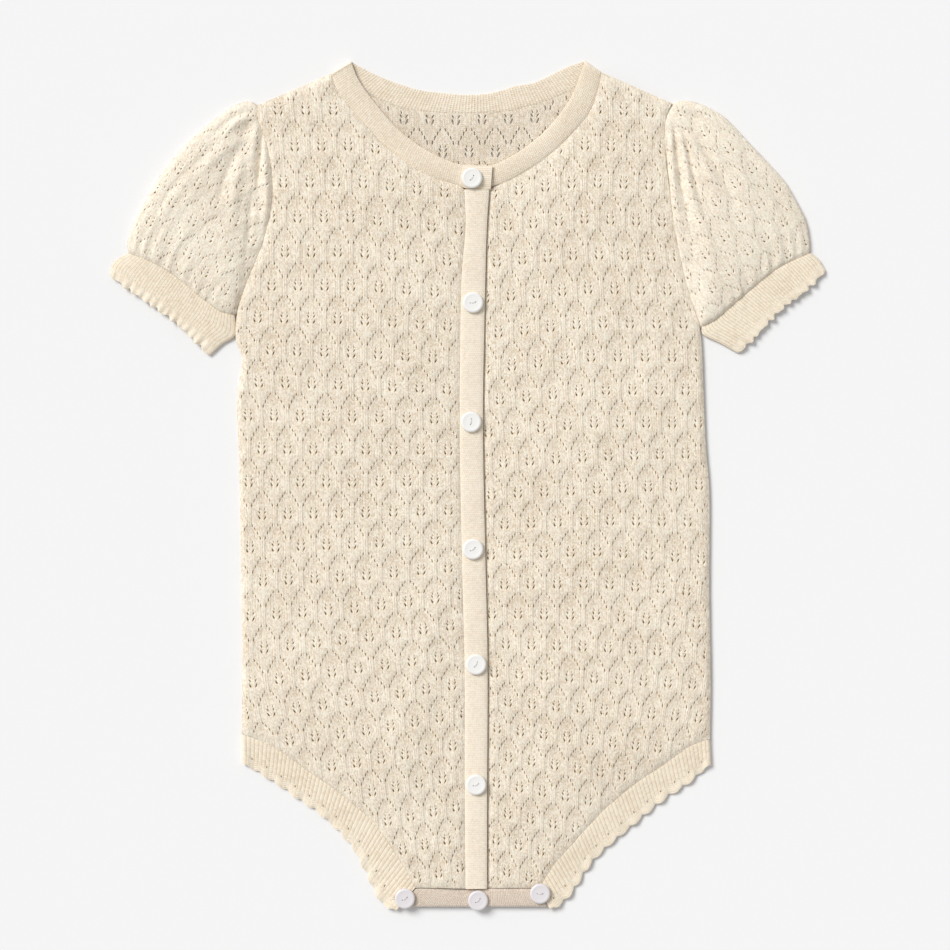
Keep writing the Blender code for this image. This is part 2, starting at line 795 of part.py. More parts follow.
def sleeve(name, seam, armhole, top, under, gathers):
    """A puff sleeve: gathered at the shoulder tip and into the cuff."""
    plan = patch(seam, armhole, top, under)
    cuff_folds = []
    for k in range(CUFF_GATHERS):
        u = (k + 0.5) / CUFF_GATHERS
        root = plan(u, 0.0)
        reach = plan(u, 0.22)
        cuff_folds.append(Fold(*root, *reach, 2.4, 0.7 if k % 2 else 0.4))
    folds = tuple(gathers) + tuple(cuff_folds)

    def base(u, v):
        middle = SLEEVE_EDGE_TOP + SLEEVE_LOFT * np.sin(math.pi * np.clip(v, 0, 1)) ** 0.6
        return FOLD_EDGE_Z + (middle - FOLD_EDGE_Z) * edge_round(u)

    def outer_top(u, v, place):
        rise = folds_rise(folds, place[..., 0], place[..., 1])
        return base(u, v) + rise * edge_round(u) * ease(v / 0.05) * ease((1 - v) / 0.05)

    def inner_top(u, v, place):
        inside = (u - u.min()) / (u.max() - u.min())
        middle = SLEEVE_EDGE_TOP + SLEEVE_LOFT * np.sin(math.pi * np.clip(v, 0, 1)) ** 0.6
        return FOLD_EDGE_Z + (middle - 1.5 - FOLD_EDGE_Z) * edge_round(inside)

    tube = Tube(columns=32, rows=14, inner_rows=4, back_start=12, back_end=24, stride=2)
    return flat_tube(name, plan, outer_top, inner_top, tube, SLEEVE_KNIT)


def cuff(name, seam, free, top, under):
    """A ribbed cuff with a scalloped free edge."""
    plan = patch(seam, free, top, under)
    columns = 2 * RIBS_PER_SCALLOP * CUFF_SCALLOPS
    outward = free.at(0.5) - seam.at(0.5)
    outward = outward / np.linalg.norm(outward)

    def skirt(u, v):
        wave = np.abs(np.sin(math.pi * CUFF_SCALLOPS * u))
        fade = ease(u / 0.05) * ease((1 - u) / 0.05)
        reach = SCALLOP_DEPTH * (wave - 0.6) * fade * ease((v - 0.6) / 0.4)
        return reach[..., None] * outward

    def outer_top(u, v, place):
        level = CUFF_TOP + (CUFF_EDGE_TOP - CUFF_TOP) * v
        base = FOLD_EDGE_Z + (level - FOLD_EDGE_Z) * edge_round(u)
        crest = np.round(u * columns).astype(int) % 2
        wave = np.abs(np.sin(math.pi * CUFF_SCALLOPS * u))
        lift = SCALLOP_LIFT * wave * ease((v - 0.6) / 0.4)
        return base + (RIB_RISE * crest + lift) * edge_round(u)

    def inner_top(u, v, place):
        inside = (u - u.min()) / (u.max() - u.min())
        level = CUFF_TOP + (CUFF_EDGE_TOP - CUFF_TOP) * v - WALL
        return FOLD_EDGE_Z + (level - FOLD_EDGE_Z) * edge_round(inside)

    tube = Tube(columns, 3, 2, back_start=12, back_end=2 * CUFF_SCALLOPS, stride=4)
    return flat_tube(name, plan, outer_top, inner_top, tube, RIB_KNIT, skirt)


def tape(name, edges, low, top, count=32):
    """A placket: a flat strip between two edges that run down the garment."""
    left = Path([Point(row.left, row.y) for row in edges])
    right = Path([Point(row.right, row.y) for row in edges])
    shares = np.linspace(0.0, 1.0, count + 1)
    outline = np.vstack([left.at(shares), right.at(shares)[::-1]])
    return slab(name, outline, low, top, TAPE_KNIT)


def ring(radius, height, count, centre=(0.0, 0.0)):
    """Points on a level circle."""
    turns = [2 * math.pi * i / count for i in range(count)]
    return [(centre[0] + radius * math.cos(a), centre[1] + radius * math.sin(a), height) for a in turns]


def button_mesh(radius):
    """A round button with a rim, a dished face and two holes."""
    solid = Solid()
    levels = (
        (radius - 0.5, 0.0),
        (radius, 0.9),
        (radius - 0.5, BUTTON_THICKNESS),
        (radius - 1.7, BUTTON_THICKNESS - 0.5),
    )
    rings = [solid.points(ring(r, z, BUTTON_SEGMENTS)) for r, z in levels]
    solid.grid([level + level[:1] for level in rings])
    holes = []
    for side in (-1, 1):
        centre = (side * HOLE_SPACING / 2, 0.0)
        low = solid.points(ring(HOLE_RADIUS, 0.0, HOLE_SEGMENTS, centre))
        high = solid.points(ring(HOLE_RADIUS, levels[-1][1], HOLE_SEGMENTS, centre))
        solid.grid([low + low[:1], high + high[:1]])
        holes.append((low, high))
    for level, outer in ((0, rings[0]), (1, rings[-1])):
        edges = []
        for loop in (outer, holes[0][level], holes[1][level]):
            for a, b in zip(loop, loop[1:] + loop[:1]):
                edges.append(solid.mesh.edges.get((a, b)))
        bmesh.ops.triangle_fill(solid.mesh, edges=edges, use_beauty=True)
    return solid


def button(name, spot, radius):
    """A button laid on the cloth at its spot."""
    piece = button_mesh(radius).finish(name, BUTTON_GLOSS)
    piece.location = (spot.x * MM, spot.y * MM, (spot.low + LAYER_GAP) * MM)
    piece.rotation_euler = (0.0, 0.0, math.radians(spot.turn))
    piece.data.shade_smooth()
    piece.data.set_sharp_from_angle(angle=math.radians(35))
    return piece


def right_height(across, y):
    """Height of the front that lies on top, from its inner edge out to the side."""
    inner = NECK_TOP + (OVER_TOP - NECK_TOP) * ease((185.0 - y) / 30.0)
    loft = BODY_LOFT * ease((200.0 - y) / 60.0) * (0.35 + 0.65 * ease((y + 205.0) / 70.0))
    edge = inner + (FRONT_TOP - inner) * ease(across)
    return edge + loft * np.sin(math.pi * across) ** 0.8


def left_height(across, y):
    """Height of the front that lies underneath at the placket."""
    inner = NECK_TOP + (FRONT_TOP - NECK_TOP) * ease((175.0 - y) / 15.0)
    loft = BODY_LOFT * ease((200.0 - y) / 60.0) * (0.35 + 0.65 * ease((y + 205.0) / 70.0))
    edge = inner + (FRONT_TOP - inner) * ease(across)
    return edge + 1.25 * loft * ease((across - 0.02) / 0.28) * np.sin(math.pi * across) ** 0.7


def body_edge(armhole, side, leg, sign):
    """A body half's outer edge, from the shoulder tip to the crotch."""
    seam = seam_path(leg).shifted(-sign * SEAM_GAP).at(np.linspace(0.0, 1.0, 25))
    return Path(np.vstack([Path([*armhole, *side, Point(*seam[0])]).dense, seam[1:]]), 1)


def main():
    for old in list(bpy.data.objects):
        bpy.data.objects.remove(old)

    right_edge = body_edge(ARMHOLE_RIGHT, SIDE_RIGHT, LEG_RIGHT, -1.0)
    left_edge = body_edge(ARMHOLE_LEFT, SIDE_LEFT, LEG_LEFT, 1.0)
    neck_right = seam_path(NECK_RIGHT[::-1]).shifted(-SEAM_GAP)
    neck_left = seam_path(NECK_LEFT).shifted(SEAM_GAP)
    tape_left = Path([Point(row.left - SEAM_GAP, row.y) for row in PLACKET])
    tape_right = Path([Point(row.right - SEAM_GAP, row.y) for row in PLACKET])
    inner_right = Path(np.vstack([neck_right.at(np.linspace(0, 0.86, 40)), tape_left.dense]), 1)
    inner_left = Path(np.vstack([neck_left.at(np.linspace(0, 0.80, 40)), tape_right.dense]), 1)
    front_panel("front_right", inner_right, right_edge, ROWS_RIGHT, right_height, BODY_FOLDS_RIGHT)
    front_panel("front_left", inner_left, left_edge, ROWS_LEFT, left_height, BODY_FOLDS_LEFT)

    back_neck = seam_path(NECK_BACK).shifted(-SEAM_GAP).at(np.linspace(0.0, 1.0, 31))
    shares = np.linspace(0.0, 1.0, 81)
    outline = np.vstack([back_neck, left_edge.at(shares), right_edge.at(shares)[::-1]])
    slab("back_panel", outline, 0.0, BACK_TOP, INSIDE_KNIT)

    under = [Tape(row.y, row.left + 1.0, row.right - 2 * SEAM_GAP) for row in PLACKET]
    tape("placket_over", PLACKET, OVER_LOW, OVER_TOP)
    tape("placket_under", under, FRONT_LOW, FRONT_TOP)
    neckband()

    leg_band("leg_band_right", LEG_RIGHT, np.array([-1.0, 0.0]))
    leg_band("leg_band_left", LEG_LEFT, np.array([1.0, 0.0]))
    ends = (CROTCH_RIGHT, CROTCH_LEFT)
    crotch = [(b.seam_x, b.seam_y) for b in ends] + [(b.free_x, b.free_y) for b in ends[::-1]]
    slab("crotch_band_front", crotch, FRONT_LOW, CROTCH_TOP, TAPE_KNIT)
    slab("crotch_band_back", crotch, 0.0, BACK_TOP, TAPE_KNIT)

    sides = (
        ("right", ARMHOLE_RIGHT, SLEEVE_TOP_RIGHT, CUFF_SEAM_RIGHT, CUFF_FREE_RIGHT,
         CUFF_TOP_RIGHT, CUFF_UNDER_RIGHT, GATHERS_RIGHT, SIDE_RIGHT, -1.0),
        ("left", ARMHOLE_LEFT, SLEEVE_TOP_LEFT, CUFF_SEAM_LEFT, CUFF_FREE_LEFT,
         CUFF_TOP_LEFT, CUFF_UNDER_LEFT, GATHERS_LEFT, SIDE_LEFT, 1.0),
    )
    for side, armhole, top, seam, free, cuff_top, cuff_under, gathers, flank, sign in sides:
        cap = Path([*armhole, *flank]).first_spans(len(armhole) - 1).shifted(sign * SEAM_GAP)
        hem = Path(seam)
        underarm = Path([hem.at(1.0), cap.at(1.0)])
        fold = Path([hem.at(0.0), *top, cap.at(0.0)])
        sleeve(f"sleeve_{side}", hem, cap, fold, underarm, gathers)
        rib_seam = hem.shifted(sign * SEAM_GAP)
        outer_fold = Path([rib_seam.at(0.0), cuff_top, free[0]])
        inner_fold = Path([rib_seam.at(1.0), *cuff_under, free[-1]])
        cuff(f"cuff_{side}", rib_seam, Path(free), outer_fold, inner_fold)

    for number, spot in enumerate(FRONT_BUTTONS, start=1):
        button(f"placket_button_{number}", spot, FRONT_BUTTON_RADIUS)
    for number, spot in enumerate(CROTCH_BUTTONS, start=1):
        button(f"crotch_button_{number}", spot, CROTCH_BUTTON_RADIUS)


main()
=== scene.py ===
"""Looks of a baby romper in leaf lace knit, laid flat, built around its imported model.

Each piece of cloth is a thin shell on the form of its CAD solid. Tables repeat the
part's own sizes in millimetres, with X to the wearer's left, Y to the neck and Z up.
"""

import logging
import math
from dataclasses import dataclass, field, replace
from enum import Enum
from typing import Callable, NamedTuple, Sequence

import bmesh
import bpy
import numpy as np
from mathutils import Matrix, Vector
from mathutils.kdtree import KDTree


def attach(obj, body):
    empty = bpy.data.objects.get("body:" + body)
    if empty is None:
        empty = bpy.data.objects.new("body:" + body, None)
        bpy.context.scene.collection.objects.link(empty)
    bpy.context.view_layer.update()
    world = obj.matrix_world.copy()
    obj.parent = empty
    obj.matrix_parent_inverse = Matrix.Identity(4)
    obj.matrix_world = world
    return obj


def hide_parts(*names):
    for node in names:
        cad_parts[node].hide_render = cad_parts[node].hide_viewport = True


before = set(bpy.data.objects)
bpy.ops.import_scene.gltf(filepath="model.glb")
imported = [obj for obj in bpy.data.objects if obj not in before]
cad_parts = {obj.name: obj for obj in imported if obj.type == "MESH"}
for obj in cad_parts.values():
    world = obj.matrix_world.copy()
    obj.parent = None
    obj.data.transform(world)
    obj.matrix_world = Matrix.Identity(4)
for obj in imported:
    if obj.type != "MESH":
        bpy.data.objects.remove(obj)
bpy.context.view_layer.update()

log = logging.getLogger("romper")

Array = np.ndarray
Colour = tuple[float, float, float]
Height = Callable[[Array, Array], Array]

MM = 0.001
ROOT = "root"


class Side(Enum):
    """The wearer's side, with the sign of its X."""

    RIGHT = -1
    LEFT = 1

    @property
    def word(self) -> str:
        """The side's name in a piece's name."""
        return self.name.lower()


# Layers of cloth, as in the part, in millimetres
WALL = 1.3
SEAM_GAP = 0.4
LAYER_GAP = 0.3
RIB_RISE = 0.35
BACK_TOP = WALL
FRONT_LOW = BACK_TOP + LAYER_GAP
FRONT_TOP = FRONT_LOW + WALL
NECK_LOW = BACK_TOP + RIB_RISE + LAYER_GAP + 0.05
NECK_TOP = NECK_LOW + WALL
OVER_LOW = FRONT_TOP + 0.4
OVER_TOP = OVER_LOW + WALL
CROTCH_TOP = FRONT_LOW + 1.4
FOLD_EDGE_Z = 1.45
TURN_Z = 0.9 * FRONT_LOW

# Loft of the cloth over the flat back
BODY_LOFT = 1.9
SLEEVE_LOFT = 2.9
SLEEVE_EDGE_TOP = 3.3
CUFF_TOP = 3.15
CUFF_EDGE_TOP = 2.95

# Ribs and scallops
CUFF_SCALLOPS = 11
LEG_SCALLOPS = 13
RIBS_PER_SCALLOP = 4
SCALLOP_DEPTH = 1.5
SCALLOP_LIFT = 0.4
SCALLOP_TUCK = 0.8

# The knit itself, and how close its sewn edges come to each other
KNIT_THICKNESS = 0.65
SEAM_LOOK = 0.05
RIB_THICKNESS = 0.9

# A distance beyond every other, and the way up
FAR = 1e9
UP = np.array([0.0, 0.0, 1.0])

# The straight pieces of a curve between two of its points, and the points along each
# front's neck edge and leg edge
CURVE_STEPS = 12
NECK_POINTS = 40
LEG_POINTS = 24

# The share of the neck seam that each front's edge follows, from the shoulder to the placket
NECK_SHARES = {Side.RIGHT: 0.86, Side.LEFT: 0.80}

# The wales and the courses that cover each kind of panel, and where the back's halves meet
FRONT_STITCHES = ((-60, 60), (-150, 290))
BACK_STITCHES = ((-100, 100), (-150, 300))
SLEEVE_STITCHES = ((-80, 80), (-160, 80))
BACK_SPLIT_Y = 12.0

# An eyelet's rim in shares of its half sizes, and the least space to the sides of its cell
EYELET_SHAPE = (
    (-0.66, -0.74), (-1, 0), (-0.66, 0.74), (0, 1), (0.66, 0.74), (1, 0), (0.66, -0.74), (0, -1),
)
EYELET_SPACE = 0.07

# How near to a corner of the outline the point has to be that moves onto it
CORNER_REACH = 2.5

FRONT_BUTTON_RADIUS = 5.2
CROTCH_BUTTON_RADIUS = 5.1

# A button's profile from its back to its dish: how far in from its radius, and how high
BUTTON_PROFILE = (
    (1.4, 0.0), (0.55, 0.12), (0.14, 0.5), (0.0, 1.0), (0.1, 1.4), (0.34, 1.72), (0.7, 1.9),
    (1.1, 1.93), (1.5, 1.87), (2.0, 1.8), (2.6, 1.78),
)


class Band(NamedTuple):
    """A line across a ribbed band, from its free edge to the edge sewn to the body."""

    free_x: float
    free_y: float
    seam_x: float
    seam_y: float


class Point(NamedTuple):
    """A place in plan."""

    x: float
    y: float


class Tape(NamedTuple):
    """The placket's two edges at one height on the garment."""

    y: float
    left: float
    right: float


class Fold(NamedTuple):
    """A soft ridge, or a trough where rise is negative, along a straight line."""

    x0: float
    y0: float
    x1: float
    y1: float
    width: float
    rise: float


class Pleat(NamedTuple):
    """A ridge along a bent line, or a crease where rise is negative.

    Its line has four points. It is steep over one width on its left and the other on its
    right, going from its first point.
    """

    x0: float
    y0: float
    x1: float
    y1: float
    x2: float
    y2: float
    x3: float
    y3: float
    left: float
    right: float
    rise: float


class Spot(NamedTuple):
    """A button's centre, the way its two holes point and the layer that it lies on."""

    x: float
    y: float
    turn: float
    low: float


class Course(NamedTuple):
    """Where three wales of a panel's lace cross one course: the hearts of its leaves."""

    course: float
    x_a: float
    y_a: float
    x_b: float
    y_b: float
    x_c: float
    y_c: float


class Eyelet(NamedTuple):
    """A hole of the leaf's right half, with the left half's as its mirror image.

    It lies in the cell across wales out and down courses below the leaf's heart. Its half
    sizes, and its shift out from the vein and down, are in millimetres. Its slant is in
    degrees, with its top leaning out.
    """

    across: int
    down: int
    half_width: float
    half_height: float
    slant: float
    out: float
    drop: float


class Nudge(NamedTuple):
    """How far a stitch of the leaf's right half gives way to the eyelets beside it."""

    across: float
    down: float
    out: float
    drop: float


def rows_of(kind: type, *rows: tuple) -> tuple:
    """Names the numbers of each row of a table."""
    return tuple(kind(*row) for row in rows)


NECK_RIGHT = rows_of(
    Band, (12.4, 160, 11.6, 148.2), (0.75, 160.2, 0.5, 148.4), (-4.85, 160.9, -6.6, 151),
    (-13.45, 164.05, -17.6, 154.3), (-22.05, 168.65, -27.9, 159.9), (-30.75, 175, -37.6, 166.9),
    (-36.25, 180, -43.8, 172.1), (-41.6, 185.85, -50, 179.6), (-49.05, 195.05, -58.4, 189),
    (-54.8, 203.65, -64.75, 197), (-58.25, 212.2, -68.3, 206.2),
)
NECK_BACK = rows_of(
    Band, (-58.25, 212.2, -68.3, 206.2), (-50.25, 208, -54.05, 199.9), (-41.75, 204, -46, 194.7),
    (-30.25, 200, -33, 189.6), (-23.25, 198, -24.5, 187.9), (-12, 196.6, -12.5, 187),
    (0.25, 195.75, 0.5, 186.75), (10, 196.4, 10.3, 187), (17.25, 198, 19.5, 187.7),
    (23.25, 200, 26.2, 189.1), (33.75, 202, 37.5, 192.3), (42.25, 206, 47, 196),
    (50.75, 210, 56, 200.4), (58.75, 212.6, 67.1, 206.8),
)
NECK_LEFT = rows_of(
    Band, (58.75, 212.6, 67.1, 206.8), (54.25, 200, 64, 194), (49.75, 191.2, 59.6, 184.9),
    (40.75, 179.5, 48.6, 172.5), (31.75, 171.5, 38, 163.3), (23.05, 165.5, 28.2, 156.8),
    (14.1, 161, 17.6, 151.5), (7, 159.6, 8, 149.4), (-2, 159.5, -2, 149.4),
)
PLACKET = rows_of(
    Tape, (148.1, -1.6, 10.9), (128, -1.1, 9.6), (99, -3.25, 8.8), (32, -4, 7.7), (-31.5, -3, 8.8),
    (-89, -1.6, 10), (-149, -1.5, 9.8), (-201, -1.1, 9.7),
)
ARMHOLES = {
    Side.RIGHT: rows_of(
        Point, (-104.75, 190.5), (-105, 184), (-102.4, 177), (-98.6, 162), (-97.75, 143),
        (-101, 126.5), (-103.75, 118), (-108, 107.5), (-112.25, 96.5), (-115.2, 86.5),
    ),
    Side.LEFT: rows_of(
        Point, (102.25, 191.5), (99.2, 184), (98.3, 174), (99.25, 162), (100.75, 150),
        (102.6, 134.5), (106.05, 115.5), (109.5, 100.7), (113.75, 87), (116.2, 79),
    ),
}
FLANKS = {
    Side.RIGHT: rows_of(
        Point, (-115.9, 73), (-112.7, 63), (-115.2, 43), (-114.2, 10), (-113, -57), (-112.7, -97),
    ),
    Side.LEFT: rows_of(
        Point, (117.4, 66), (118.25, 43), (119.2, 20), (121, -5), (120.9, -50), (121.6, -97),
    ),
}
LEG_BANDS = {
    Side.RIGHT: rows_of(
        Band, (-112.4, -138.4, -113, -124), (-103.2, -144.2, -101.5, -128.2),
        (-93.2, -150.6, -90.5, -134.8), (-84.6, -156.8, -79.5, -142.6),
        (-75.8, -162.6, -66.25, -151.8), (-66.3, -171, -57.25, -158.9),
        (-57.6, -181, -46.5, -168.6), (-51.8, -191.6, -37.75, -181.3),
        (-47, -201.6, -31.6, -190.4), (-42.4, -209.2, -28.4, -196.4),
        (-35.6, -212.2, -26.2, -200.9),
    ),
    Side.LEFT: rows_of(
        Band, (121.6, -138.8, 121.2, -126.4), (111, -148.4, 110.75, -130.6),
        (99.2, -156.2, 96.5, -140.4), (88.6, -164.8, 83.5, -149.2), (78.4, -173.4, 70, -160.4),
        (69.4, -181, 60.75, -169.8), (61.6, -189.2, 51.2, -180.4), (55.6, -198.4, 44.2, -188.2),
        (51.6, -204.2, 39.6, -194.8), (46.6, -209.2, 37.4, -198.2), (41.2, -211.6, 35.5, -200.9),
    ),
}
CROTCH_ENDS = (Band(-33.6, -210.2, -25.8, -201.3), Band(39.6, -210.2, 35.0, -201.3))
SLEEVE_TOPS = {
    Side.RIGHT: rows_of(
        Point, (-170.2, 122), (-166.25, 133), (-160.75, 143), (-155.25, 153), (-147.75, 163),
        (-138.75, 173), (-128.25, 182), (-117.25, 190), (-109.5, 192.5),
    ),
    Side.LEFT: rows_of(
        Point, (171.2, 123), (169.2, 133), (164.25, 143), (158.25, 153), (149.25, 163),
        (139.75, 173), (129.25, 184), (119.25, 190), (110, 192.8),
    ),
}
CUFF_SEAMS = {
    Side.RIGHT: rows_of(
        Point, (-169.6, 116.4), (-157.9, 112), (-147.75, 106), (-138.95, 99), (-130.35, 92),
        (-123.45, 87.2), (-116.6, 85.4),
    ),
    Side.LEFT: rows_of(
        Point, (171.3, 116.4), (157.25, 110), (146.65, 102.2), (135.75, 93), (124.5, 83.4),
        (117.3, 79.6),
    ),
}
CUFF_FREES = {
    Side.RIGHT: rows_of(
        Point, (-178.5, 104.9), (-169.6, 98.2), (-158.6, 90.6), (-146.8, 82.2), (-137.4, 73.4),
        (-129.5, 65.4),
    ),
    Side.LEFT: rows_of(
        Point, (178.9, 107.4), (169.2, 97.6), (158.2, 89.4), (149.8, 81), (142.4, 72.8),
        (135.6, 66.8),
    ),
}
CUFF_TOPS = {Side.RIGHT: Point(-176.8, 111.6), Side.LEFT: Point(175.3, 113.2)}
CUFF_UNDERS = {
    Side.RIGHT: (Point(-116.6, 75.6), Point(-122.9, 71.4)),
    Side.LEFT: (Point(118.3, 75.8), Point(127.0, 71.6)),
}
PLEATS = {
    Side.RIGHT: rows_of(
        Pleat, (-107.8, 187.5, -115.5, 185, -121.8, 180, -130.5, 174, 1.6, 1.3, -1.2),
        (-107.6, 184.6, -113.4, 182.8, -118.3, 178.6, -125.3, 168.5, 1.8, 2.6, 1.5),
        (-108, 179.5, -110, 178.5, -112.5, 176.5, -115, 173.5, 2.8, 2.4, -1.5),
        (-105.2, 181.5, -106, 174.5, -107.2, 165, -109.8, 146, 1.6, 2.4, 1.1),
        (-102.8, 176, -103.4, 165, -104.4, 155, -105.2, 143, 0.9, 1.1, -1.5),
        (-101.5, 171, -100.6, 153.5, -100.4, 140, -104.8, 116.5, 1.5, 2, 1.3),
        (-113.8, 176.5, -122.5, 167.5, -130, 158.5, -138.8, 143, 2.8, 3.4, 0.9),
        (-111.5, 171.5, -118.3, 160.5, -122, 150, -126.8, 134, 2.2, 2, -0.9),
        (-111, 166, -115.3, 152, -116.8, 138, -119.5, 122, 2.4, 2.8, 0.8),
        (-107.8, 146, -108.8, 134, -109.8, 122, -112.8, 106, 1.5, 1.5, -0.8),
        (-128, 168, -139, 157, -149, 146, -159, 128, 2.6, 2, -0.7),
        (-136, 158, -144, 148, -150, 138, -156, 122, 3, 3, 0.7),
    ),
    Side.LEFT: rows_of(
        Pleat, (109.8, 190.8, 118, 187.5, 127, 181.5, 136.5, 174, 2.2, 1.6, 1.4),
        (108.5, 186.5, 116, 182.5, 123, 176.5, 131, 167.5, 1.3, 1.5, -1.2),
        (99.9, 177.5, 99.9, 160, 100.7, 140, 103.5, 121, 1, 1, -1.2),
        (101.2, 180.5, 102.3, 163, 104, 146, 110.3, 112, 1.5, 1.5, 1.2),
        (103.2, 178.5, 105.4, 164, 107.8, 147, 113.8, 116, 0.9, 1, -1.3),
        (105.4, 181, 108.6, 165, 111.6, 147, 118.8, 112, 1.6, 1.9, 1.3),
        (107.4, 177.5, 111.2, 164.5, 114.6, 150, 121.5, 124, 1, 1.6, -1),
        (109.5, 180, 116, 167, 121.5, 152.5, 130, 126, 2.4, 3.2, 0.9),
        (112, 176, 121, 164, 129, 150, 138, 130, 2, 2, -0.8),
        (118, 178, 130, 165, 141, 151, 150, 132, 3, 3.4, 0.8),
        (112.5, 148, 116.5, 134, 121.5, 118, 127.5, 101, 2, 2, 0.7),
        (136, 168, 147, 156, 155, 143, 163, 126, 2.2, 2.2, -0.6),
    ),
}
BODY_FOLDS = {
    Side.RIGHT: rows_of(
        Fold, (-6, -25, -38, -158, 8, 0.6), (-6, -60, -20, -165, 6, -0.4),
        (-95, 95, -70, 10, 10, 0.4), (-60, 20, -82, -120, 12, 0.4),
    ),
    Side.LEFT: rows_of(
        Fold, (22, -40, 60, -150, 8, 0.5), (16, -80, 40, -165, 6, -0.3),
        (98, 90, 84, -10, 10, 0.5), (62, 100, 66, -60, 12, 0.3),
    ),
}
FRONT_BUTTONS = (
    Spot(2.25, 153.6, 55.0, OVER_TOP + RIB_RISE),
    Spot(2.75, 91.5, 10.0, OVER_TOP),
    Spot(1.75, 32.0, 80.0, OVER_TOP),
    Spot(2.75, -31.5, 35.0, OVER_TOP),
    Spot(4.25, -89.0, 60.0, OVER_TOP),
    Spot(4.25, -149.0, 20.0, OVER_TOP),
)
CROTCH_BUTTONS = (
    Spot(-31.25, -206.0, 30.0, FRONT_TOP + RIB_RISE),
    Spot(5.25, -207.0, 40.0, CROTCH_TOP),
    Spot(36.25, -203.5, 0.0, FRONT_TOP + RIB_RISE),
)

# How the lace lies on each front: its leaves' hearts on three wales
FRONT_WALES = {Side.RIGHT: (-30.0, 0.0, 30.0), Side.LEFT: (-30.0, 0.0, 20.0)}
FRONT_LACE = {
    Side.RIGHT: rows_of(
        Course, (-128, -103.5, 205, -60.5, 204, -18.5, 199),
        (-96, -99.5, 168, -59.5, 168.5, -18.5, 164), (-64, -98, 132.5, -58.3, 132.5, -17.8, 128),
        (-32, -97.8, 98.5, -58, 98.5, -16.3, 95.5), (0, -98.3, 66.5, -58, 65, -17.3, 62.5),
        (32, -96.5, 33.5, -57.5, 33, -16.5, 32), (64, -96.3, 0.5, -57.5, 0.5, -16.3, 1),
        (96, -95.8, -32, -57.5, -30.5, -16.3, -28.3),
        (128, -95.3, -65.5, -56.3, -62.5, -16, -57.5), (160, -93.8, -98, -54.3, -92.5, -14.3, -87),
        (192, -88.5, -128.5, -50.3, -123.5, -13.8, -117),
        (224, -84, -160, -47.3, -154, -12.3, -147.5), (256, -79, -192, -43, -186, -10, -178),
    ),
    Side.LEFT: rows_of(
        Course, (-128, 17, 200, 58, 206, 84.5, 204), (-96, 18.5, 163, 58.8, 169, 84.8, 167.5),
        (-64, 20.3, 128.5, 58.5, 132, 84.3, 131), (-32, 21.8, 93.5, 60.3, 97, 86.8, 96.5),
        (0, 22.3, 58.5, 61.8, 63, 88.8, 63), (32, 23.8, 26.5, 63.3, 30, 89.3, 30),
        (64, 25.3, -5, 64.8, -3, 90.3, -2), (96, 25, -35.5, 64.8, -34, 90.8, -36),
        (128, 25.3, -65.5, 64.3, -66, 89.3, -68), (160, 26, -95.5, 63.3, -97.5, 87.8, -99),
        (192, 26.5, -124, 61.3, -128.5, 83.8, -131), (224, 26, -152, 60.3, -158.5, 82, -163),
        (256, 25.5, -181, 59, -189, 80, -195),
    ),
}
BACK_WALES = (-50.0, 0.0, 50.0)
BACK_LACE = rows_of(
    Course, (-128, -71, 217, -5.8, 216, 60, 217), (-96, -71, 183, -5.8, 182, 60, 183.5),
    (-64, -71.5, 150, -5.8, 149, 60.5, 150), (0, -73, 84, -5.8, 83.5, 61, 84),
    (128, -73, -47.5, -5, -48, 62.5, -47.5), (256, -72.5, -179, -4.5, -179.5, 63, -179),
)
SLEEVE_WALES = (-20.0, 0.0, 20.0)
SLEEVE_LACE = {
    Side.RIGHT: rows_of(
        Course, (-96, -115, 211.5, -97, 193, -75, 174.5),
        (-32, -144.8, 157.5, -126.8, 140.5, -107.3, 121.5),
        (0, -159.8, 130.5, -140.3, 114.5, -121.3, 97), (32, -172.5, 105.5, -152.5, 91, -133.5, 75),
    ),
    Side.LEFT: rows_of(
        Course, (-96, 77, 176, 95.5, 195, 114, 212), (-32, 107.3, 122.5, 125, 141.5, 143.8, 157.5),
        (0, 122.3, 97.5, 140.8, 116, 158.8, 130.5), (32, 134.5, 75, 153.5, 92, 172, 106),
    ),
}

# The leaf's eyelets, from its tip up, and how its stitches make room for them
LEAF_EYELETS = rows_of(
    Eyelet, (1, 10, 0.34, 1.2, 8, -0.02, 0), (2, 8, 0.3, 1.1, 12, -0.06, -0.42),
    (3, 6, 0.28, 1.05, 12, -0.04, -0.48), (4, 4, 0.26, 0.9, 10, -0.08, -0.12),
    (1, 0, 0.52, 1.34, 24, 0.15, 0.08), (1, -2, 0.4, 0.96, 38, 0.1, -0.52),
    (1, -4, 0.25, 0.66, 18, -0.1, -0.26),
)
LEAF_NUDGES = rows_of(
    Nudge, (0.5, 11, 0, 0.15), (1.5, 11, 0, 0.1), (0.5, 9, 0, -0.15), (1.5, 9, 0.05, -0.25),
    (2.5, 9, 0, -0.1), (1.5, 7, 0, -0.45), (2.5, 7, 0.05, -0.5), (3.5, 7, 0, -0.15),
    (2.5, 5, 0, -0.45), (3.5, 5, 0.05, -0.45), (3.5, 3, 0, -0.15), (4.5, 3, 0.05, -0.15),
    (0.5, 1, 0, 0.32), (1.5, 1, 0.12, 0.2), (0.5, -1, 0, -0.25), (1.5, -1, 0.34, -0.35),
    (0.5, -3, -0.12, -0.5), (1.5, -3, 0.3, -0.6), (0.5, -5, -0.14, -0.3), (1.5, -5, 0, -0.3),
    (1.5, 13, -0.45, 0), (1.5, 15, -0.55, 0), (1.5, -15, -0.55, 0), (1.5, -13, -0.4, 0),
)


def ease(value: Array | float) -> Array:
    """A smooth step from 0 to 1 as value goes from 0 to 1."""
    share = np.clip(value, 0.0, 1.0)
    return share * share * (3 - 2 * share)


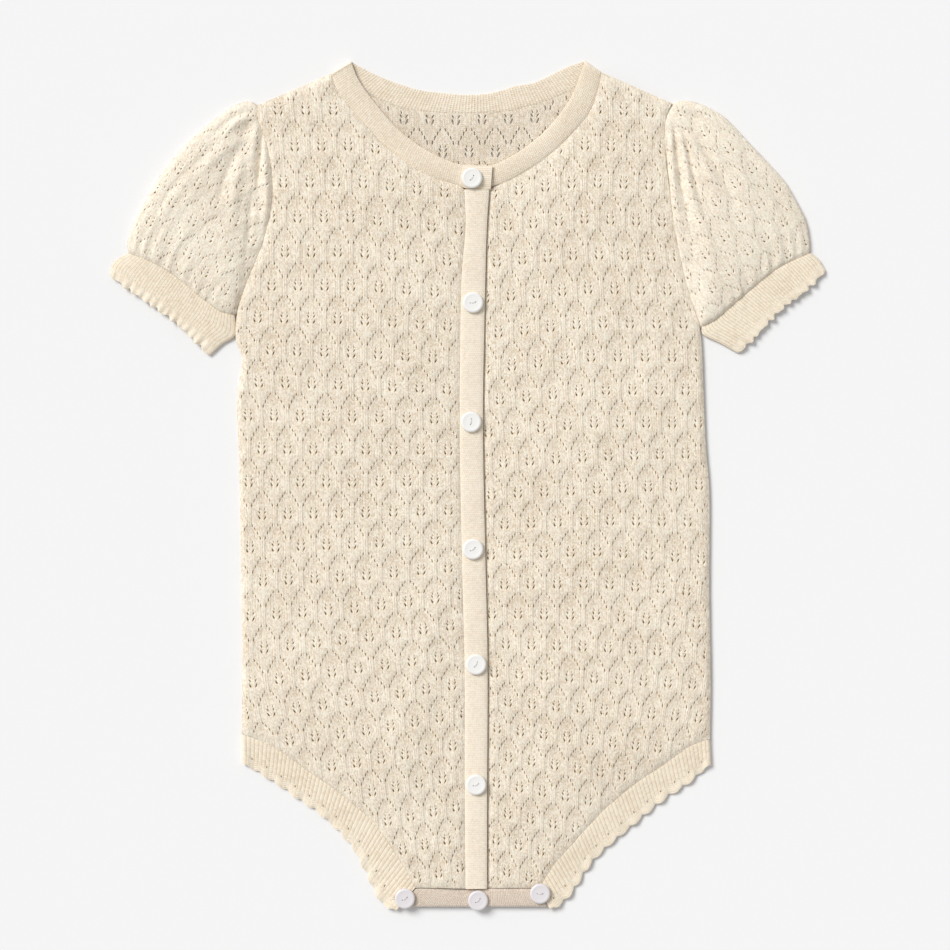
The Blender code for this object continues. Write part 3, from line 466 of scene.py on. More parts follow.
def unit(vectors: Array) -> Array:
    """The same directions, each with a length of 1."""
    return vectors / np.linalg.norm(vectors, axis=-1, keepdims=True)


def hermite(t: Array, start: Array, leave: Array, end: Array, arrive: Array) -> Array:
    """A curve from start to end at share t, with its slopes as it leaves and arrives."""
    rest = 2 * t**3 - 3 * t**2 + 1
    return rest * start + (t**3 - 2 * t**2 + t) * leave + (1 - rest) * end + (t**3 - t**2) * arrive


class Path:
    """A smooth curve through points in plan, read by the share of its length."""

    def __init__(self, points: Sequence, steps: int = CURVE_STEPS) -> None:
        """Draws the curve.

        Args:
            points: The places that it passes through.
            steps: How many straight pieces lie between two of them.
        """
        knots = np.array([(p[0], p[1]) for p in points], dtype=float)
        ends = (2 * knots[0] - knots[1], 2 * knots[-1] - knots[-2])
        hull = np.vstack([ends[0], knots, ends[1]])
        share = np.linspace(0.0, 1.0, steps, endpoint=False)[:, None]
        spans = [self._span(hull[i : i + 4], share) for i in range(len(knots) - 1)]
        self.dense = np.vstack(spans + [knots[-1:]])
        strides = np.linalg.norm(np.diff(self.dense, axis=0), axis=1)
        self.length = float(strides.sum())
        self.share = np.concatenate([[0.0], np.cumsum(strides)]) / self.length

    @staticmethod
    def _span(four: Array, t: Array) -> Array:
        """The curve between the middle two of four points."""
        before, start, end, after = four
        return hermite(t, start, (end - before) / 2, end, (after - start) / 2)

    def first_spans(self, count: int) -> "Path":
        """The curve through its first points only, count spans long."""
        return Path(self.dense[: count * CURVE_STEPS + 1], steps=1)

    def at(self, t: Array | float) -> Array:
        """The point, or points, at share t of the length."""
        x = np.interp(t, self.share, self.dense[:, 0])
        y = np.interp(t, self.share, self.dense[:, 1])
        return np.stack([x, y], axis=-1)

    def x_at(self, y: Array) -> Array:
        """X where the curve, which runs down the garment, passes y."""
        return np.interp(-np.asarray(y), -self.dense[:, 1], self.dense[:, 0])

    def shifted(self, gap: float) -> "Path":
        """The curve moved sideways by gap, to its left."""
        ahead = np.gradient(self.dense, axis=0)
        side = unit(np.stack([-ahead[:, 1], ahead[:, 0]], axis=1))
        return Path(self.dense + gap * side, steps=1)


def free_path(bands: Sequence[Band]) -> Path:
    """The curve along the bands' free edge."""
    return Path([Point(b.free_x, b.free_y) for b in bands])


def seam_path(bands: Sequence[Band]) -> Path:
    """The curve along the edge that is sewn to the body."""
    return Path([Point(b.seam_x, b.seam_y) for b in bands])


def folds_rise(folds: Sequence[Fold], x: Array, y: Array) -> Array:
    """What a table of folds adds to the cloth's height at x, y."""
    total = np.zeros_like(np.asarray(x, dtype=float))
    for fold in folds:
        run = np.array([fold.x1 - fold.x0, fold.y1 - fold.y0])
        length = float(np.linalg.norm(run))
        along = ((x - fold.x0) * run[0] + (y - fold.y0) * run[1]) / length**2
        across = ((x - fold.x0) * run[1] - (y - fold.y0) * run[0]) / length
        fade = ease((along + 0.12) / 0.2) * ease((1.15 - along) / 0.45)
        total = total + fold.rise * fade * np.exp(-((across / fold.width) ** 2))
    return total


def pleats_rise(pleats: Sequence[Pleat], x: Array, y: Array) -> Array:
    """What a table of pleats adds to the cloth's height at x, y."""
    total = np.zeros_like(np.asarray(x, dtype=float))
    for pleat in pleats:
        knots = np.array(pleat[:8]).reshape(4, 2)
        line = Path(knots, 6).dense
        nearest = np.full(total.shape, FAR)
        side, along = np.zeros((2, *total.shape))
        for k, (start, end) in enumerate(zip(line[:-1], line[1:])):
            run = end - start
            raw = ((x - start[0]) * run[0] + (y - start[1]) * run[1]) / (run @ run)
            share = np.clip(raw, 0.0, 1.0)
            off_x, off_y = x - start[0] - share * run[0], y - start[1] - share * run[1]
            gap = off_x**2 + off_y**2
            closer = gap < nearest
            nearest = np.where(closer, gap, nearest)
            side = np.where(closer, run[0] * off_y - run[1] * off_x, side)
            along = np.where(closer, (k + share) / (len(line) - 1), along)
        width = np.where(side > 0, pleat.left, pleat.right)
        fade = (0.35 + 0.65 * ease(along / 0.2)) * ease((1 - along) / 0.45)
        total = total + pleat.rise * fade * np.exp(-nearest / width**2)
    return total


def smooth_column(course: Array, knots: Array, values: Array) -> Array:
    """Reads a table's column between its rows, with no kinks, and straight beyond its ends."""
    slopes = np.gradient(values, knots)
    i = np.clip(np.searchsorted(knots, course) - 1, 0, len(knots) - 2)
    span = knots[i + 1] - knots[i]
    t = (course - knots[i]) / span
    inside = hermite(t, values[i], span * slopes[i], values[i + 1], span * slopes[i + 1])
    before = values[0] + (course - knots[0]) * slopes[0]
    after = values[-1] + (course - knots[-1]) * slopes[-1]
    return np.where(t < 0, before, np.where(t > 1, after, inside))


class LaceMap:
    """Where each stitch of a panel lies in plan."""

    def __init__(self, wales: Sequence[float], rows: Sequence[Course], stray: float = 0.0) -> None:
        """Reads the panel's table.

        Args:
            wales: The three wales that the table follows.
            rows: Where they cross some of the courses.
            stray: How far gathered cloth pulls the stitches out of line, in millimetres.
        """
        self.stray = stray
        self.wales = np.array(wales)
        self.table = np.array(rows, dtype=float)

    def plan(self, wale: Array, course: Array) -> Array:
        """The place of a stitch, or of many, in plan."""
        wale, course = np.broadcast_arrays(np.asarray(wale, float), np.asarray(course, float))
        knots = self.table[:, 0]
        columns = [smooth_column(course, knots, self.table[:, k]) for k in range(1, 7)]
        low, mid, high = (np.stack(columns[k : k + 2], axis=-1) for k in (0, 2, 4))
        left = ((wale - self.wales[0]) / (self.wales[1] - self.wales[0]))[..., None]
        right = ((wale - self.wales[1]) / (self.wales[2] - self.wales[1]))[..., None]
        plan = np.where(left < 1, low + (mid - low) * left, mid + (high - mid) * right)
        pull_x = np.sin(wale / 1.9 + course / 6.1) + 0.7 * np.sin(wale / 3.4 - course / 8.3 + 1.0)
        pull_y = np.sin(wale / 2.7 + course / 9.7 + 2.0)
        return plan + self.stray * np.stack([pull_x, pull_y], axis=-1)


@dataclass(frozen=True)
class LeafLace:
    """Leaf lace: leaves in a half drop, with eyelets along their veins and lower edges."""

    wales: int = 10
    courses: int = 32
    wale_width: float = 1.34
    course_height: float = 1.025
    leaf_rise: float = 0.55
    rib_rise: float = 0.45
    rib_width: float = 1.6
    hollow: float = 0.35
    power: float = 0.6
    leaf_top: float = -12.4
    leaf_tip: float = 11.0

    def is_heart(self, wale: Array, course: Array) -> Array:
        """Whether a leaf has its heart on this stitch."""
        (u, d), (half_u, half_d) = (self.place(wale, course, drop) for drop in (False, True))
        return ((u == 0) & (d == 0)) | ((half_u == 0) & (half_d == 0))

    def place(self, wale: Array, course: Array, drop: bool) -> tuple[Array, Array]:
        """Wales out and courses down from the nearest heart of one of the two sets."""
        shift_w, shift_c = (self.wales / 2, self.courses / 2) if drop else (0, 0)
        u = (wale - shift_w + self.wales / 2) % self.wales - self.wales / 2
        d = (course - shift_c + self.courses / 2) % self.courses - self.courses / 2
        return u, d

    def nudge(self, wale: Array, course: Array) -> tuple[Array, Array]:
        """How far each stitch gives way along its course and its wale, in millimetres."""
        out, drop = np.zeros((2, *np.shape(wale)))
        for half in (False, True):
            u, d = self.place(wale, course, half)
            for nudge in LEAF_NUDGES:
                reach = np.clip(1 - np.abs(np.abs(u) - nudge.across), 0, 1)
                reach = reach * np.clip(1 - np.abs(d - nudge.down) / 2, 0, 1)
                out += nudge.out * reach * np.sign(u)
                drop += nudge.drop * reach
        return out, drop

    def relief(self, wale: Array, course: Array) -> Array:
        """How far the knit stands proud of its lowest stitches, in millimetres."""
        height = np.zeros(np.broadcast(wale, course).shape)
        sunk = height.copy()
        for drop in (False, True):
            u, d = self.place(wale, course, drop)
            half = np.interp(d, [-12.0, -6.0, 4.0, 11.0], [1.0, 4.2, 4.3, 0.5])
            crown = np.interp(
                d, [-9.0, -5.0, -1.0, 3.0, 7.0, 10.5, 11.6], [0.0, 0.15, 0.45, 0.8, 1.0, 0.9, 0.0]
            )
            leaf = crown * np.clip(1 - (u / half) ** 2, 0, 1) ** self.power
            rib = np.clip(1 - (u / self.rib_width) ** 2, 0, 1)
            rib = rib * ((d > self.leaf_tip - 1) | (d < self.leaf_top + 1))
            height = np.maximum(height, np.maximum(self.leaf_rise * leaf, self.rib_rise * rib))
            sunk = np.maximum(sunk, np.exp(-((u / 2.3) ** 2) - ((d + 8.8) / 3.0) ** 2))
        return height + self.hollow * (1 - sunk)


class Outline:
    """A panel's edge in plan, in named stretches, with quick searches."""

    def __init__(self, stretches: dict[str, Array], spacing: float = 0.2) -> None:
        """Samples the edge finely.

        Args:
            stretches: Each stretch's points, in order round the panel.
            spacing: The distance between samples.
        """
        self.names = list(stretches)
        corners = [np.asarray(stretches[name], dtype=float) for name in self.names]
        samples, labels = [], []
        for k, points in enumerate(corners):
            points = np.vstack([points, corners[(k + 1) % len(corners)][:1]])
            strides = np.linalg.norm(np.diff(points, axis=0), axis=1)
            run = np.concatenate([[0.0], np.cumsum(strides)])
            count = max(2, int(run[-1] / spacing))
            ticks = np.linspace(0.0, run[-1], count, endpoint=False)
            x, y = (np.interp(ticks, run, points[:, axis]) for axis in (0, 1))
            samples.append(np.stack([x, y], axis=1))
            labels.append(np.full(count, k))
        self.samples = np.vstack(samples)
        self.labels = np.concatenate(labels)
        self.corners = np.array([points[0] for points in corners])
        self.tree = KDTree(len(self.samples))
        for index, (x, y) in enumerate(self.samples):
            self.tree.insert((x, y, 0.0), index)
        self.tree.balance()

    @property
    def area(self) -> float:
        """The area inside, in square metres."""
        return float(plan_area(self.samples[None])) * MM * MM

    @property
    def span(self) -> Array:
        """Its width and height, in metres."""
        return np.ptp(self.samples, axis=0) * MM

    def contains(self, places: Array) -> Array:
        """Whether each place lies inside."""
        x, y = places[..., 0], places[..., 1]
        ring = self.samples[::4]
        inside = np.zeros(x.shape, dtype=bool)
        for (x0, y0), (x1, y1) in zip(ring, np.roll(ring, -1, axis=0)):
            if y0 == y1:
                continue
            crossed = (y0 > y) != (y1 > y)
            inside ^= crossed & (x < (x1 - x0) * (y - y0) / (y1 - y0) + x0)
        return inside

    def nearest(self, places: Array) -> tuple[Array, Array]:
        """The nearest sample to each place.

        Args:
            places: Points in plan.

        Returns:
            The samples' indices, and their distances.
        """
        found = [self.tree.find((x, y, 0.0)) for x, y in places.reshape(-1, 2)]
        index = np.array([hit[1] for hit in found])
        distance = np.array([hit[2] for hit in found])
        return index.reshape(places.shape[:-1]), distance.reshape(places.shape[:-1])


@dataclass
class Cloth:
    """A surface of cloth: its two faces' points, its stitches and its polygons."""

    outer: Array
    inner: Array
    stitch: Array
    faces: list[Array] = field(default_factory=list)
    on_rim: Array | None = None

    def flipped(self) -> "Cloth":
        """The same surface with its polygons turned over."""
        faces = [f[:, ::-1] for f in self.faces]
        return Cloth(self.outer, self.inner, self.stitch, faces, self.on_rim)

    def joined(self, other: "Cloth", same: dict[int, int]) -> "Cloth":
        """This surface sewn to another.

        Args:
            other: The other surface.
            same: For points of the other, the points here that they are.

        Returns:
            One surface.
        """
        index = np.arange(len(other.outer)) + len(self.outer)
        for there, here in same.items():
            index[there] = here
        return Cloth(
            np.vstack([self.outer, other.outer]),
            np.vstack([self.inner, other.inner]),
            np.vstack([self.stitch, other.stitch]),
            self.faces + [index[f] for f in other.faces],
            np.concatenate([self.on_rim, other.on_rim]),
        )

    def closed(self) -> tuple[Array, list[Array], Array, int]:
        """Closes the surface into a shell.

        Returns:
            Its points, its polygons, the stitch that each point belongs to, and how many
            of the walls, which lie between its two faces, are eyelets' rims.
        """
        count = len(self.outer)
        starts = np.concatenate([f.ravel() for f in self.faces])
        ends = np.concatenate([np.roll(f, -1, axis=1).ravel() for f in self.faces])
        low, high = np.minimum(starts, ends), np.maximum(starts, ends)
        _, first, uses = np.unique(
            low.astype(np.int64) * count + high, return_index=True, return_counts=True
        )
        rim = first[uses == 1]
        a, b = starts[rim], ends[rim]
        deep = np.zeros(len(a), dtype=bool) if self.on_rim is None else self.on_rim[a]
        walls = np.stack([b, a, a + count, b + count], axis=1)[np.argsort(~deep, kind="stable")]
        polygons = self.faces + [walls] + [f[:, ::-1] + count for f in self.faces]
        points = np.vstack([self.outer, self.inner])
        return points, polygons, np.vstack([self.stitch, self.stitch]), int(deep.sum())

    def piece(self, name: str, node: str, slot: str,
              *materials: bpy.types.Material) -> bpy.types.Object:
        """Puts the surface in the scene as a closed shell.

        Args:
            name: The piece's name.
            node: The node that it stands for.
            slot: Not used.
            materials: As in mesh_from.

        Returns:
            The piece.
        """
        return add_piece(name, mesh_from(name, *self.closed(), materials), [node])


def mesh_from(name: str, points: Array, polygons: Sequence[Array], stitch: Array, rims: int,
              materials: Sequence[bpy.types.Material]) -> bpy.types.Mesh:
    """Makes a smooth mesh.

    Args:
        name: The mesh's name.
        points: Its points, in millimetres.
        polygons: Arrays of corner indices, one for each number of corners.
        stitch: The wale and course of each point.
        rims: How many walls, first among them, are eyelets' rims.
        materials: Its material, or those of its outside, its painted-shade inside and eyelets'
            rims.

    Returns:
        The mesh, with its stitches as a UV map.
    """
    used, compact = np.unique(np.concatenate([p.ravel() for p in polygons]), return_inverse=True)
    corner_sets, start = [], 0
    for p in polygons:
        corner_sets.append(compact[start : start + p.size].reshape(p.shape))
        start += p.size
    loops = np.concatenate([p.ravel() for p in corner_sets]).astype(np.int32)
    totals = np.concatenate([np.full(len(p), p.shape[1]) for p in corner_sets])
    starts = np.concatenate([[0], np.cumsum(totals)[:-1]]).astype(np.int32)
    mesh = bpy.data.meshes.new(name)
    mesh.vertices.add(len(used))
    mesh.vertices.foreach_set("co", (points[used] * MM).astype(np.float32).ravel())
    mesh.loops.add(len(loops))
    mesh.loops.foreach_set("vertex_index", loops)
    mesh.polygons.add(len(totals))
    mesh.polygons.foreach_set("loop_start", starts)
    mesh.polygons.foreach_set("loop_total", totals.astype(np.int32))
    mesh.update(calc_edges=True)
    walls = len(polygons) // 2
    before, after = (sum(p.size for p in polygons[:k]) for k in (walls, walls + 1))
    edge_of = np.empty(len(loops), dtype=np.int32)
    mesh.loops.foreach_get("edge_index", edge_of)
    sharp = np.zeros(len(mesh.edges), dtype=bool)
    sharp[edge_of[before:after]] = True
    mesh.attributes.new("sharp_edge", "BOOLEAN", "EDGE").data.foreach_set("value", sharp)
    layer = mesh.uv_layers.new(name="stitches")
    layer.data.foreach_set("uv", stitch[used][loops].astype(np.float32).ravel())
    for material in materials:
        mesh.materials.append(material)
    if len(materials) > 1:
        outside = sum(len(p) for p in polygons[:walls])
        index = np.zeros(len(totals), dtype=np.int32)
        index[outside + len(polygons[walls]) :] = 1
        index[outside : outside + rims] = 2
        mesh.polygons.foreach_set("material_index", index)
    mesh.validate()
    mesh.polygons.foreach_set("use_smooth", np.ones(len(mesh.polygons), dtype=bool))
    return mesh


def add_piece(name: str, mesh: bpy.types.Mesh, nodes: Sequence[str]) -> bpy.types.Object:
    """Puts a mesh in the scene as a piece that stands for CAD nodes.

    Args:
        name: The piece's name.
        mesh: Its mesh, with its material.
        nodes: The nodes that it replaces.

    Returns:
        The piece.
    """
    piece = bpy.data.objects.new(name, mesh)
    bpy.context.scene.collection.objects.link(piece)
    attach(piece, ROOT)
    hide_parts(*nodes)
    mesh.calc_loop_triangles()
    log.info("%s: %d triangles", name, len(mesh.loop_triangles))
    return piece


class Graph:
    """Adds and links a node tree's nodes."""

    def __init__(self, tree: bpy.types.NodeTree) -> None:
        """Starts on a tree."""
        self.tree = tree

    def fill(self, node: bpy.types.Node, inputs: dict) -> None:
        """Gives a node's sockets their values, or links them to other sockets."""
        for name, value in inputs.items():
            if isinstance(value, bpy.types.NodeSocket):
                self.tree.links.new(value, node.inputs[name])
            else:
                node.inputs[name].default_value = value

    def add(self, kind: str, inputs: dict | None = None, **settings: object) -> bpy.types.Node:
        """Adds a node.

        Args:
            kind: The node's type, without its common first part.
            inputs: For a socket's name or number, its value or the socket to link.
            settings: The node's properties.

        Returns:
            The node.
        """
        node = self.tree.nodes.new(kind if kind.startswith("NodeGroup") else f"ShaderNode{kind}")
        for name, value in settings.items():
            setattr(node, name, value)
        self.fill(node, inputs or {})
        return node

    def math(self, operation: str, *values: object) -> bpy.types.NodeSocket:
        """A sum, product or other function of numbers and sockets."""
        return self.add("Math", dict(enumerate(values)), operation=operation).outputs[0]

    def times(self, first: object, second: object) -> bpy.types.NodeSocket:
        """The product of two."""
        return self.math("MULTIPLY", first, second)

    def less(self, first: object, second: object) -> bpy.types.NodeSocket:
        """The first less the second."""
        return self.math("SUBTRACT", first, second)

    def times_plus(self, first: object, second: object, more: object) -> bpy.types.NodeSocket:
        """The product of two, and a third."""
        return self.math("MULTIPLY_ADD", first, second, more)

    def clamp(self, value: bpy.types.NodeSocket) -> bpy.types.NodeSocket:
        """The value, held from 0 to 1."""
        return self.add("Clamp", {0: value}).outputs[0]

    def mix(self, share: bpy.types.NodeSocket, first: Colour,
            second: Colour) -> bpy.types.NodeSocket:
        """A colour between two, by the second's share."""
        inputs = {0: share, 6: (*first, 1.0), 7: (*second, 1.0)}
        return self.add("Mix", inputs, data_type="RGBA").outputs[2]

    def parts(self, vector: bpy.types.NodeSocket) -> bpy.types.NodeOutputs:
        """A vector's X, Y and Z."""
        return self.add("SeparateXYZ", {0: vector}).outputs

    def group(self, tree: bpy.types.NodeTree, inputs: dict) -> bpy.types.NodeOutputs:
        """Places a node group, for its outputs."""
        return self.add("Group", inputs, node_tree=tree).outputs


def new_material(name: str) -> tuple[bpy.types.Material, Graph, bpy.types.Node]:
    """Starts a material, and gives its graph and its shader too."""
    made = bpy.data.materials.new(name)
    made.use_nodes = True
    return made, Graph(made.node_tree), made.node_tree.nodes["Principled BSDF"]


def new_group(name: str, inputs: dict[str, str], outputs: str) -> tuple:
    """Starts a shader node group.

    Args:
        name: The group's name.
        inputs: Its inputs' names and kinds.
        outputs: The names of its outputs, which are numbers.

    Returns:
        The group, its graph, its input node's sockets and its output node.
    """
    tree = bpy.data.node_groups.new(name, "ShaderNodeTree")
    for label, kind in inputs.items():
        tree.interface.new_socket(name=label, in_out="INPUT", socket_type=f"NodeSocket{kind}")
    for label in outputs.split():
        tree.interface.new_socket(name=label, in_out="OUTPUT", socket_type="NodeSocketFloat")
    graph = Graph(tree)
    return tree, graph, graph.add("NodeGroupInput").outputs, graph.add("NodeGroupOutput")


def loops_group() -> bpy.types.NodeTree:
    """Knitted loops: each stitch is a V of two legs, read from wales and courses."""
    inputs = {"Stitch": "Vector", "Lean": "Float"}
    tree, graph, given, result = new_group("knit_loops", inputs, "Height Gap Strand")
    wale, course, _ = graph.parts(given["Stitch"])
    across = graph.math("ABSOLUTE", graph.less(graph.math("FRACT", wale), 0.5))
    off = graph.times(graph.less(across, 0.25), 4.0)
    off = graph.math("MAXIMUM", off, graph.times(off, -0.7))
    leg = graph.less(1.0, graph.times(off, off))
    row = graph.math("ADD", course, graph.times(across, given["Lean"]))
    wave = graph.times_plus(graph.math("SINE", graph.times(row, 2 * math.pi)), 0.45, 0.55)
    height = graph.times(leg, wave)
    leg_number = graph.math("FLOOR", graph.times(wale, 2.0))
    seed = graph.add("CombineXYZ", {0: leg_number, 1: graph.math("FLOOR", row)})
    strand = graph.add("TexWhiteNoise", {"Vector": seed.outputs[0]}, noise_dimensions="2D")
    # Painted shade: the lower a point of the loops, the darker its colour
    gap = graph.less(1.0, height)
    graph.fill(result, {"Height": height, "Gap": gap, "Strand": strand.outputs["Value"]})
    return tree


def rib_group() -> bpy.types.NodeTree:
    """Painted shade in the narrow furrows between ribs, starting some way in from the free edge."""
    inputs = {"Stitch": "Vector", "Start": "Float"}
    tree, graph, given, result = new_group("rib_shade_lines", inputs, "GrooveShade")
    legs, depth, _ = graph.parts(given["Stitch"])
    wave = graph.times_plus(graph.math("COSINE", graph.times(legs, 4 * math.pi)), 0.5, 0.5)
    fade = graph.clamp(graph.times_plus(graph.less(depth, given["Start"]), 0.8, 0.5))
    graph.fill(result, {"GrooveShade": graph.times(graph.math("POWER", wave, 7.0), fade)})
    return tree


def leaf_group(lace: LeafLace) -> bpy.types.NodeTree:
    """The lace's fine lines: painted shade in creases and hollows, painted highlight on crests."""
    names = ("Crease", "Crest", "Hollow")
    tree, graph, given, result = new_group("leaf_shade_lines", {"Stitch": "Vector"}, " ".join(names))
    wale, course, _ = graph.parts(given["Stitch"])

    def wrapped(value: bpy.types.NodeSocket, shift: float, period: float) -> bpy.types.NodeSocket:
        """How far value lies from the nearest multiple of period, counted from shift."""
        moved = graph.math("ADD", value, period / 2 - shift)
        turns = graph.math("FRACT", graph.math("DIVIDE", moved, period))
        return graph.times(graph.less(turns, 0.5), period)

    def bell(value: bpy.types.NodeSocket, width: float) -> bpy.types.NodeSocket:
        """A soft peak of 1 where value is 0."""
        share = graph.math("DIVIDE", value, width)
        return graph.math("EXPONENT", graph.times(graph.times(share, share), -1.0))

    sets = []
    for shift_w, shift_c in ((0.0, 0.0), (lace.wales / 2, lace.courses / 2)):
        u = graph.math("ABSOLUTE", wrapped(wale, shift_w, lace.wales))
        d = graph.math("ABSOLUTE", wrapped(course, shift_c + 15.2, lace.courses))
        on_rib = graph.add("MapRange", {0: d, 1: 6.0, 2: 4.4, 3: 0.0, 4: 1.0}).outputs[0]
        side = bell(graph.less(u, 1.15), 0.3)
        line = graph.times(graph.math("MAXIMUM", side, graph.times(bell(u, 0.16), 0.5)), on_rib)
        top = graph.times(bell(graph.less(u, 0.5), 0.3), on_rib)
        sunk = bell(wrapped(course, shift_c - 8.8, lace.courses), 3.2)
        sets.append((line, top, graph.times(sunk, bell(u, 2.2))))
    for name, first, second in zip(names, *sets):
        graph.fill(result, {name: graph.math("MAXIMUM", first, second)})
    return tree


def tone_group() -> bpy.types.NodeTree:
    """How a yarn's tone drifts over the cloth, with a fine fleck and fuzz."""
    inputs = {"Place": "Vector", "Fleck": "Float"}
    tree, graph, given, result = new_group("yarn_tone", inputs, "Tone Fuzz")
    drift, fleck = (
        graph.add(
            "TexNoise", {"Vector": given["Place"], "Scale": scale, "Detail": detail}
        ).outputs[0]
        for scale, detail in ((45.0, 3.0), (1500.0, 2.0))
    )
    fine = graph.times(graph.less(fleck, 0.5), given["Fleck"])
    tone = graph.math("ADD", graph.times_plus(drift, 0.5, 0.25), fine)
    graph.fill(result, {"Tone": tone, "Fuzz": fleck})
    return tree


@dataclass(frozen=True)
class KnitFinish:
    """A knitted cloth: its yarn's colour, a dark colour for painted shade and tone, its surface."""

    name: str
    colour: Colour
    shade_and_tone_colour: Colour
    lean: float = 1.7
    loop_depth: float = 0.00018
    gap_shade_share: float = 0.3
    strand_share: float = 0.6
    fleck: float = 1.5
    base_share: float = 0.12
    lace_shade_and_highlight: float = 0.0
    groove_shade: float = 0.0
    rib_start: float = -9.0
    roughness: float = 0.92
    sheen: float = 0.15
    glow: float = 0.15
    glow_reach: float = 0.0003
    glow_tint: Colour = (1.0, 0.8, 0.58)

    def material(self, groups: dict[str, bpy.types.NodeTree]) -> bpy.types.Material:
        """Makes the material.

        Args:
            groups: The node groups by name.

        Returns:
            The material.
        """
        made, graph, shader = new_material(self.name)
        stitch = graph.add("UVMap", uv_map="stitches").outputs[0]
        loops = graph.group(groups["knit_loops"], {"Stitch": stitch, "Lean": self.lean})
        place = graph.add("TexCoord").outputs["Object"]
        tone = graph.group(groups["yarn_tone"], {"Place": place, "Fleck": self.fleck})
        # Painted shade between the loops darkens the colour; Strand and Tone add random yarn tone
        shade = graph.times(loops["Gap"], self.gap_shade_share)
        shade = graph.times_plus(loops["Strand"], self.strand_share, shade)
        middle = 0.5 + 0.5 * self.strand_share - self.base_share
        shade = graph.math("ADD", shade, graph.less(tone["Tone"], middle))
        rise = graph.times_plus(tone["Fuzz"], 0.9, loops["Height"])
        rise = graph.times_plus(loops["Strand"], 0.5, rise)
        # Painted shade in the lace's creases and hollows, painted highlight on its crests, which
        # also bump
        if self.lace_shade_and_highlight:
            lines = graph.group(groups["leaf_shade_lines"], {"Stitch": stitch})
            for name, sign in (("Crease", 1), ("Crest", -1), ("Hollow", 1)):
                shade = graph.times_plus(lines[name], sign * self.lace_shade_and_highlight, shade)
            rise = graph.times_plus(lines["Crest"], 0.5, rise)
        # Painted shade in the furrows between ribs
        if self.groove_shade:
            ribs = graph.group(groups["rib_shade_lines"], {"Stitch": stitch, "Start": self.rib_start})
            shade = graph.times_plus(ribs["GrooveShade"], self.groove_shade, shade)
        bump = graph.add("Bump", {"Strength": 0.9, "Distance": self.loop_depth, "Height": rise})
        graph.fill(shader, {
            "Base Color": graph.mix(graph.clamp(shade), self.colour, self.shade_and_tone_colour),
            "Normal": bump.outputs[0],
            "Roughness": self.roughness,
            "Sheen Weight": self.sheen,
            "Sheen Roughness": 0.5,
            "Subsurface Weight": self.glow,
            "Subsurface Radius": self.glow_tint,
            "Subsurface Scale": self.glow_reach,
            "Specular IOR Level": 0.25,
        })
        return made


@dataclass(frozen=True)
class ButtonFinish:
    """Glossy white resin with a faint pearl, and the thread that holds it."""

    name: str
    colour: Colour
    pearl: Colour
    thread: Colour

    def materials(self, groups: dict[str, bpy.types.NodeTree]) -> list[bpy.types.Material]:
        """Makes the resin's and the thread's materials."""
        darker = tuple(0.7 * channel for channel in self.thread)
        made = []
        for word, fleck, first, second, surface in (
            ("resin", 0.1, self.colour, self.pearl,
             {"Roughness": 0.35, "Coat Weight": 0.2, "Coat Roughness": 0.15}),
            ("thread", 0.6, self.thread, darker, {"Roughness": 0.8}),
        ):
            material, graph, shader = new_material(f"{self.name}_{word}")
            place = graph.add("TexCoord").outputs["Object"]
            tone = graph.group(groups["yarn_tone"], {"Place": place, "Fleck": fleck})
            colour = graph.mix(graph.clamp(tone["Tone"]), first, second)
            graph.fill(shader, {"Base Color": colour} | surface)
            made.append(material)
        return made


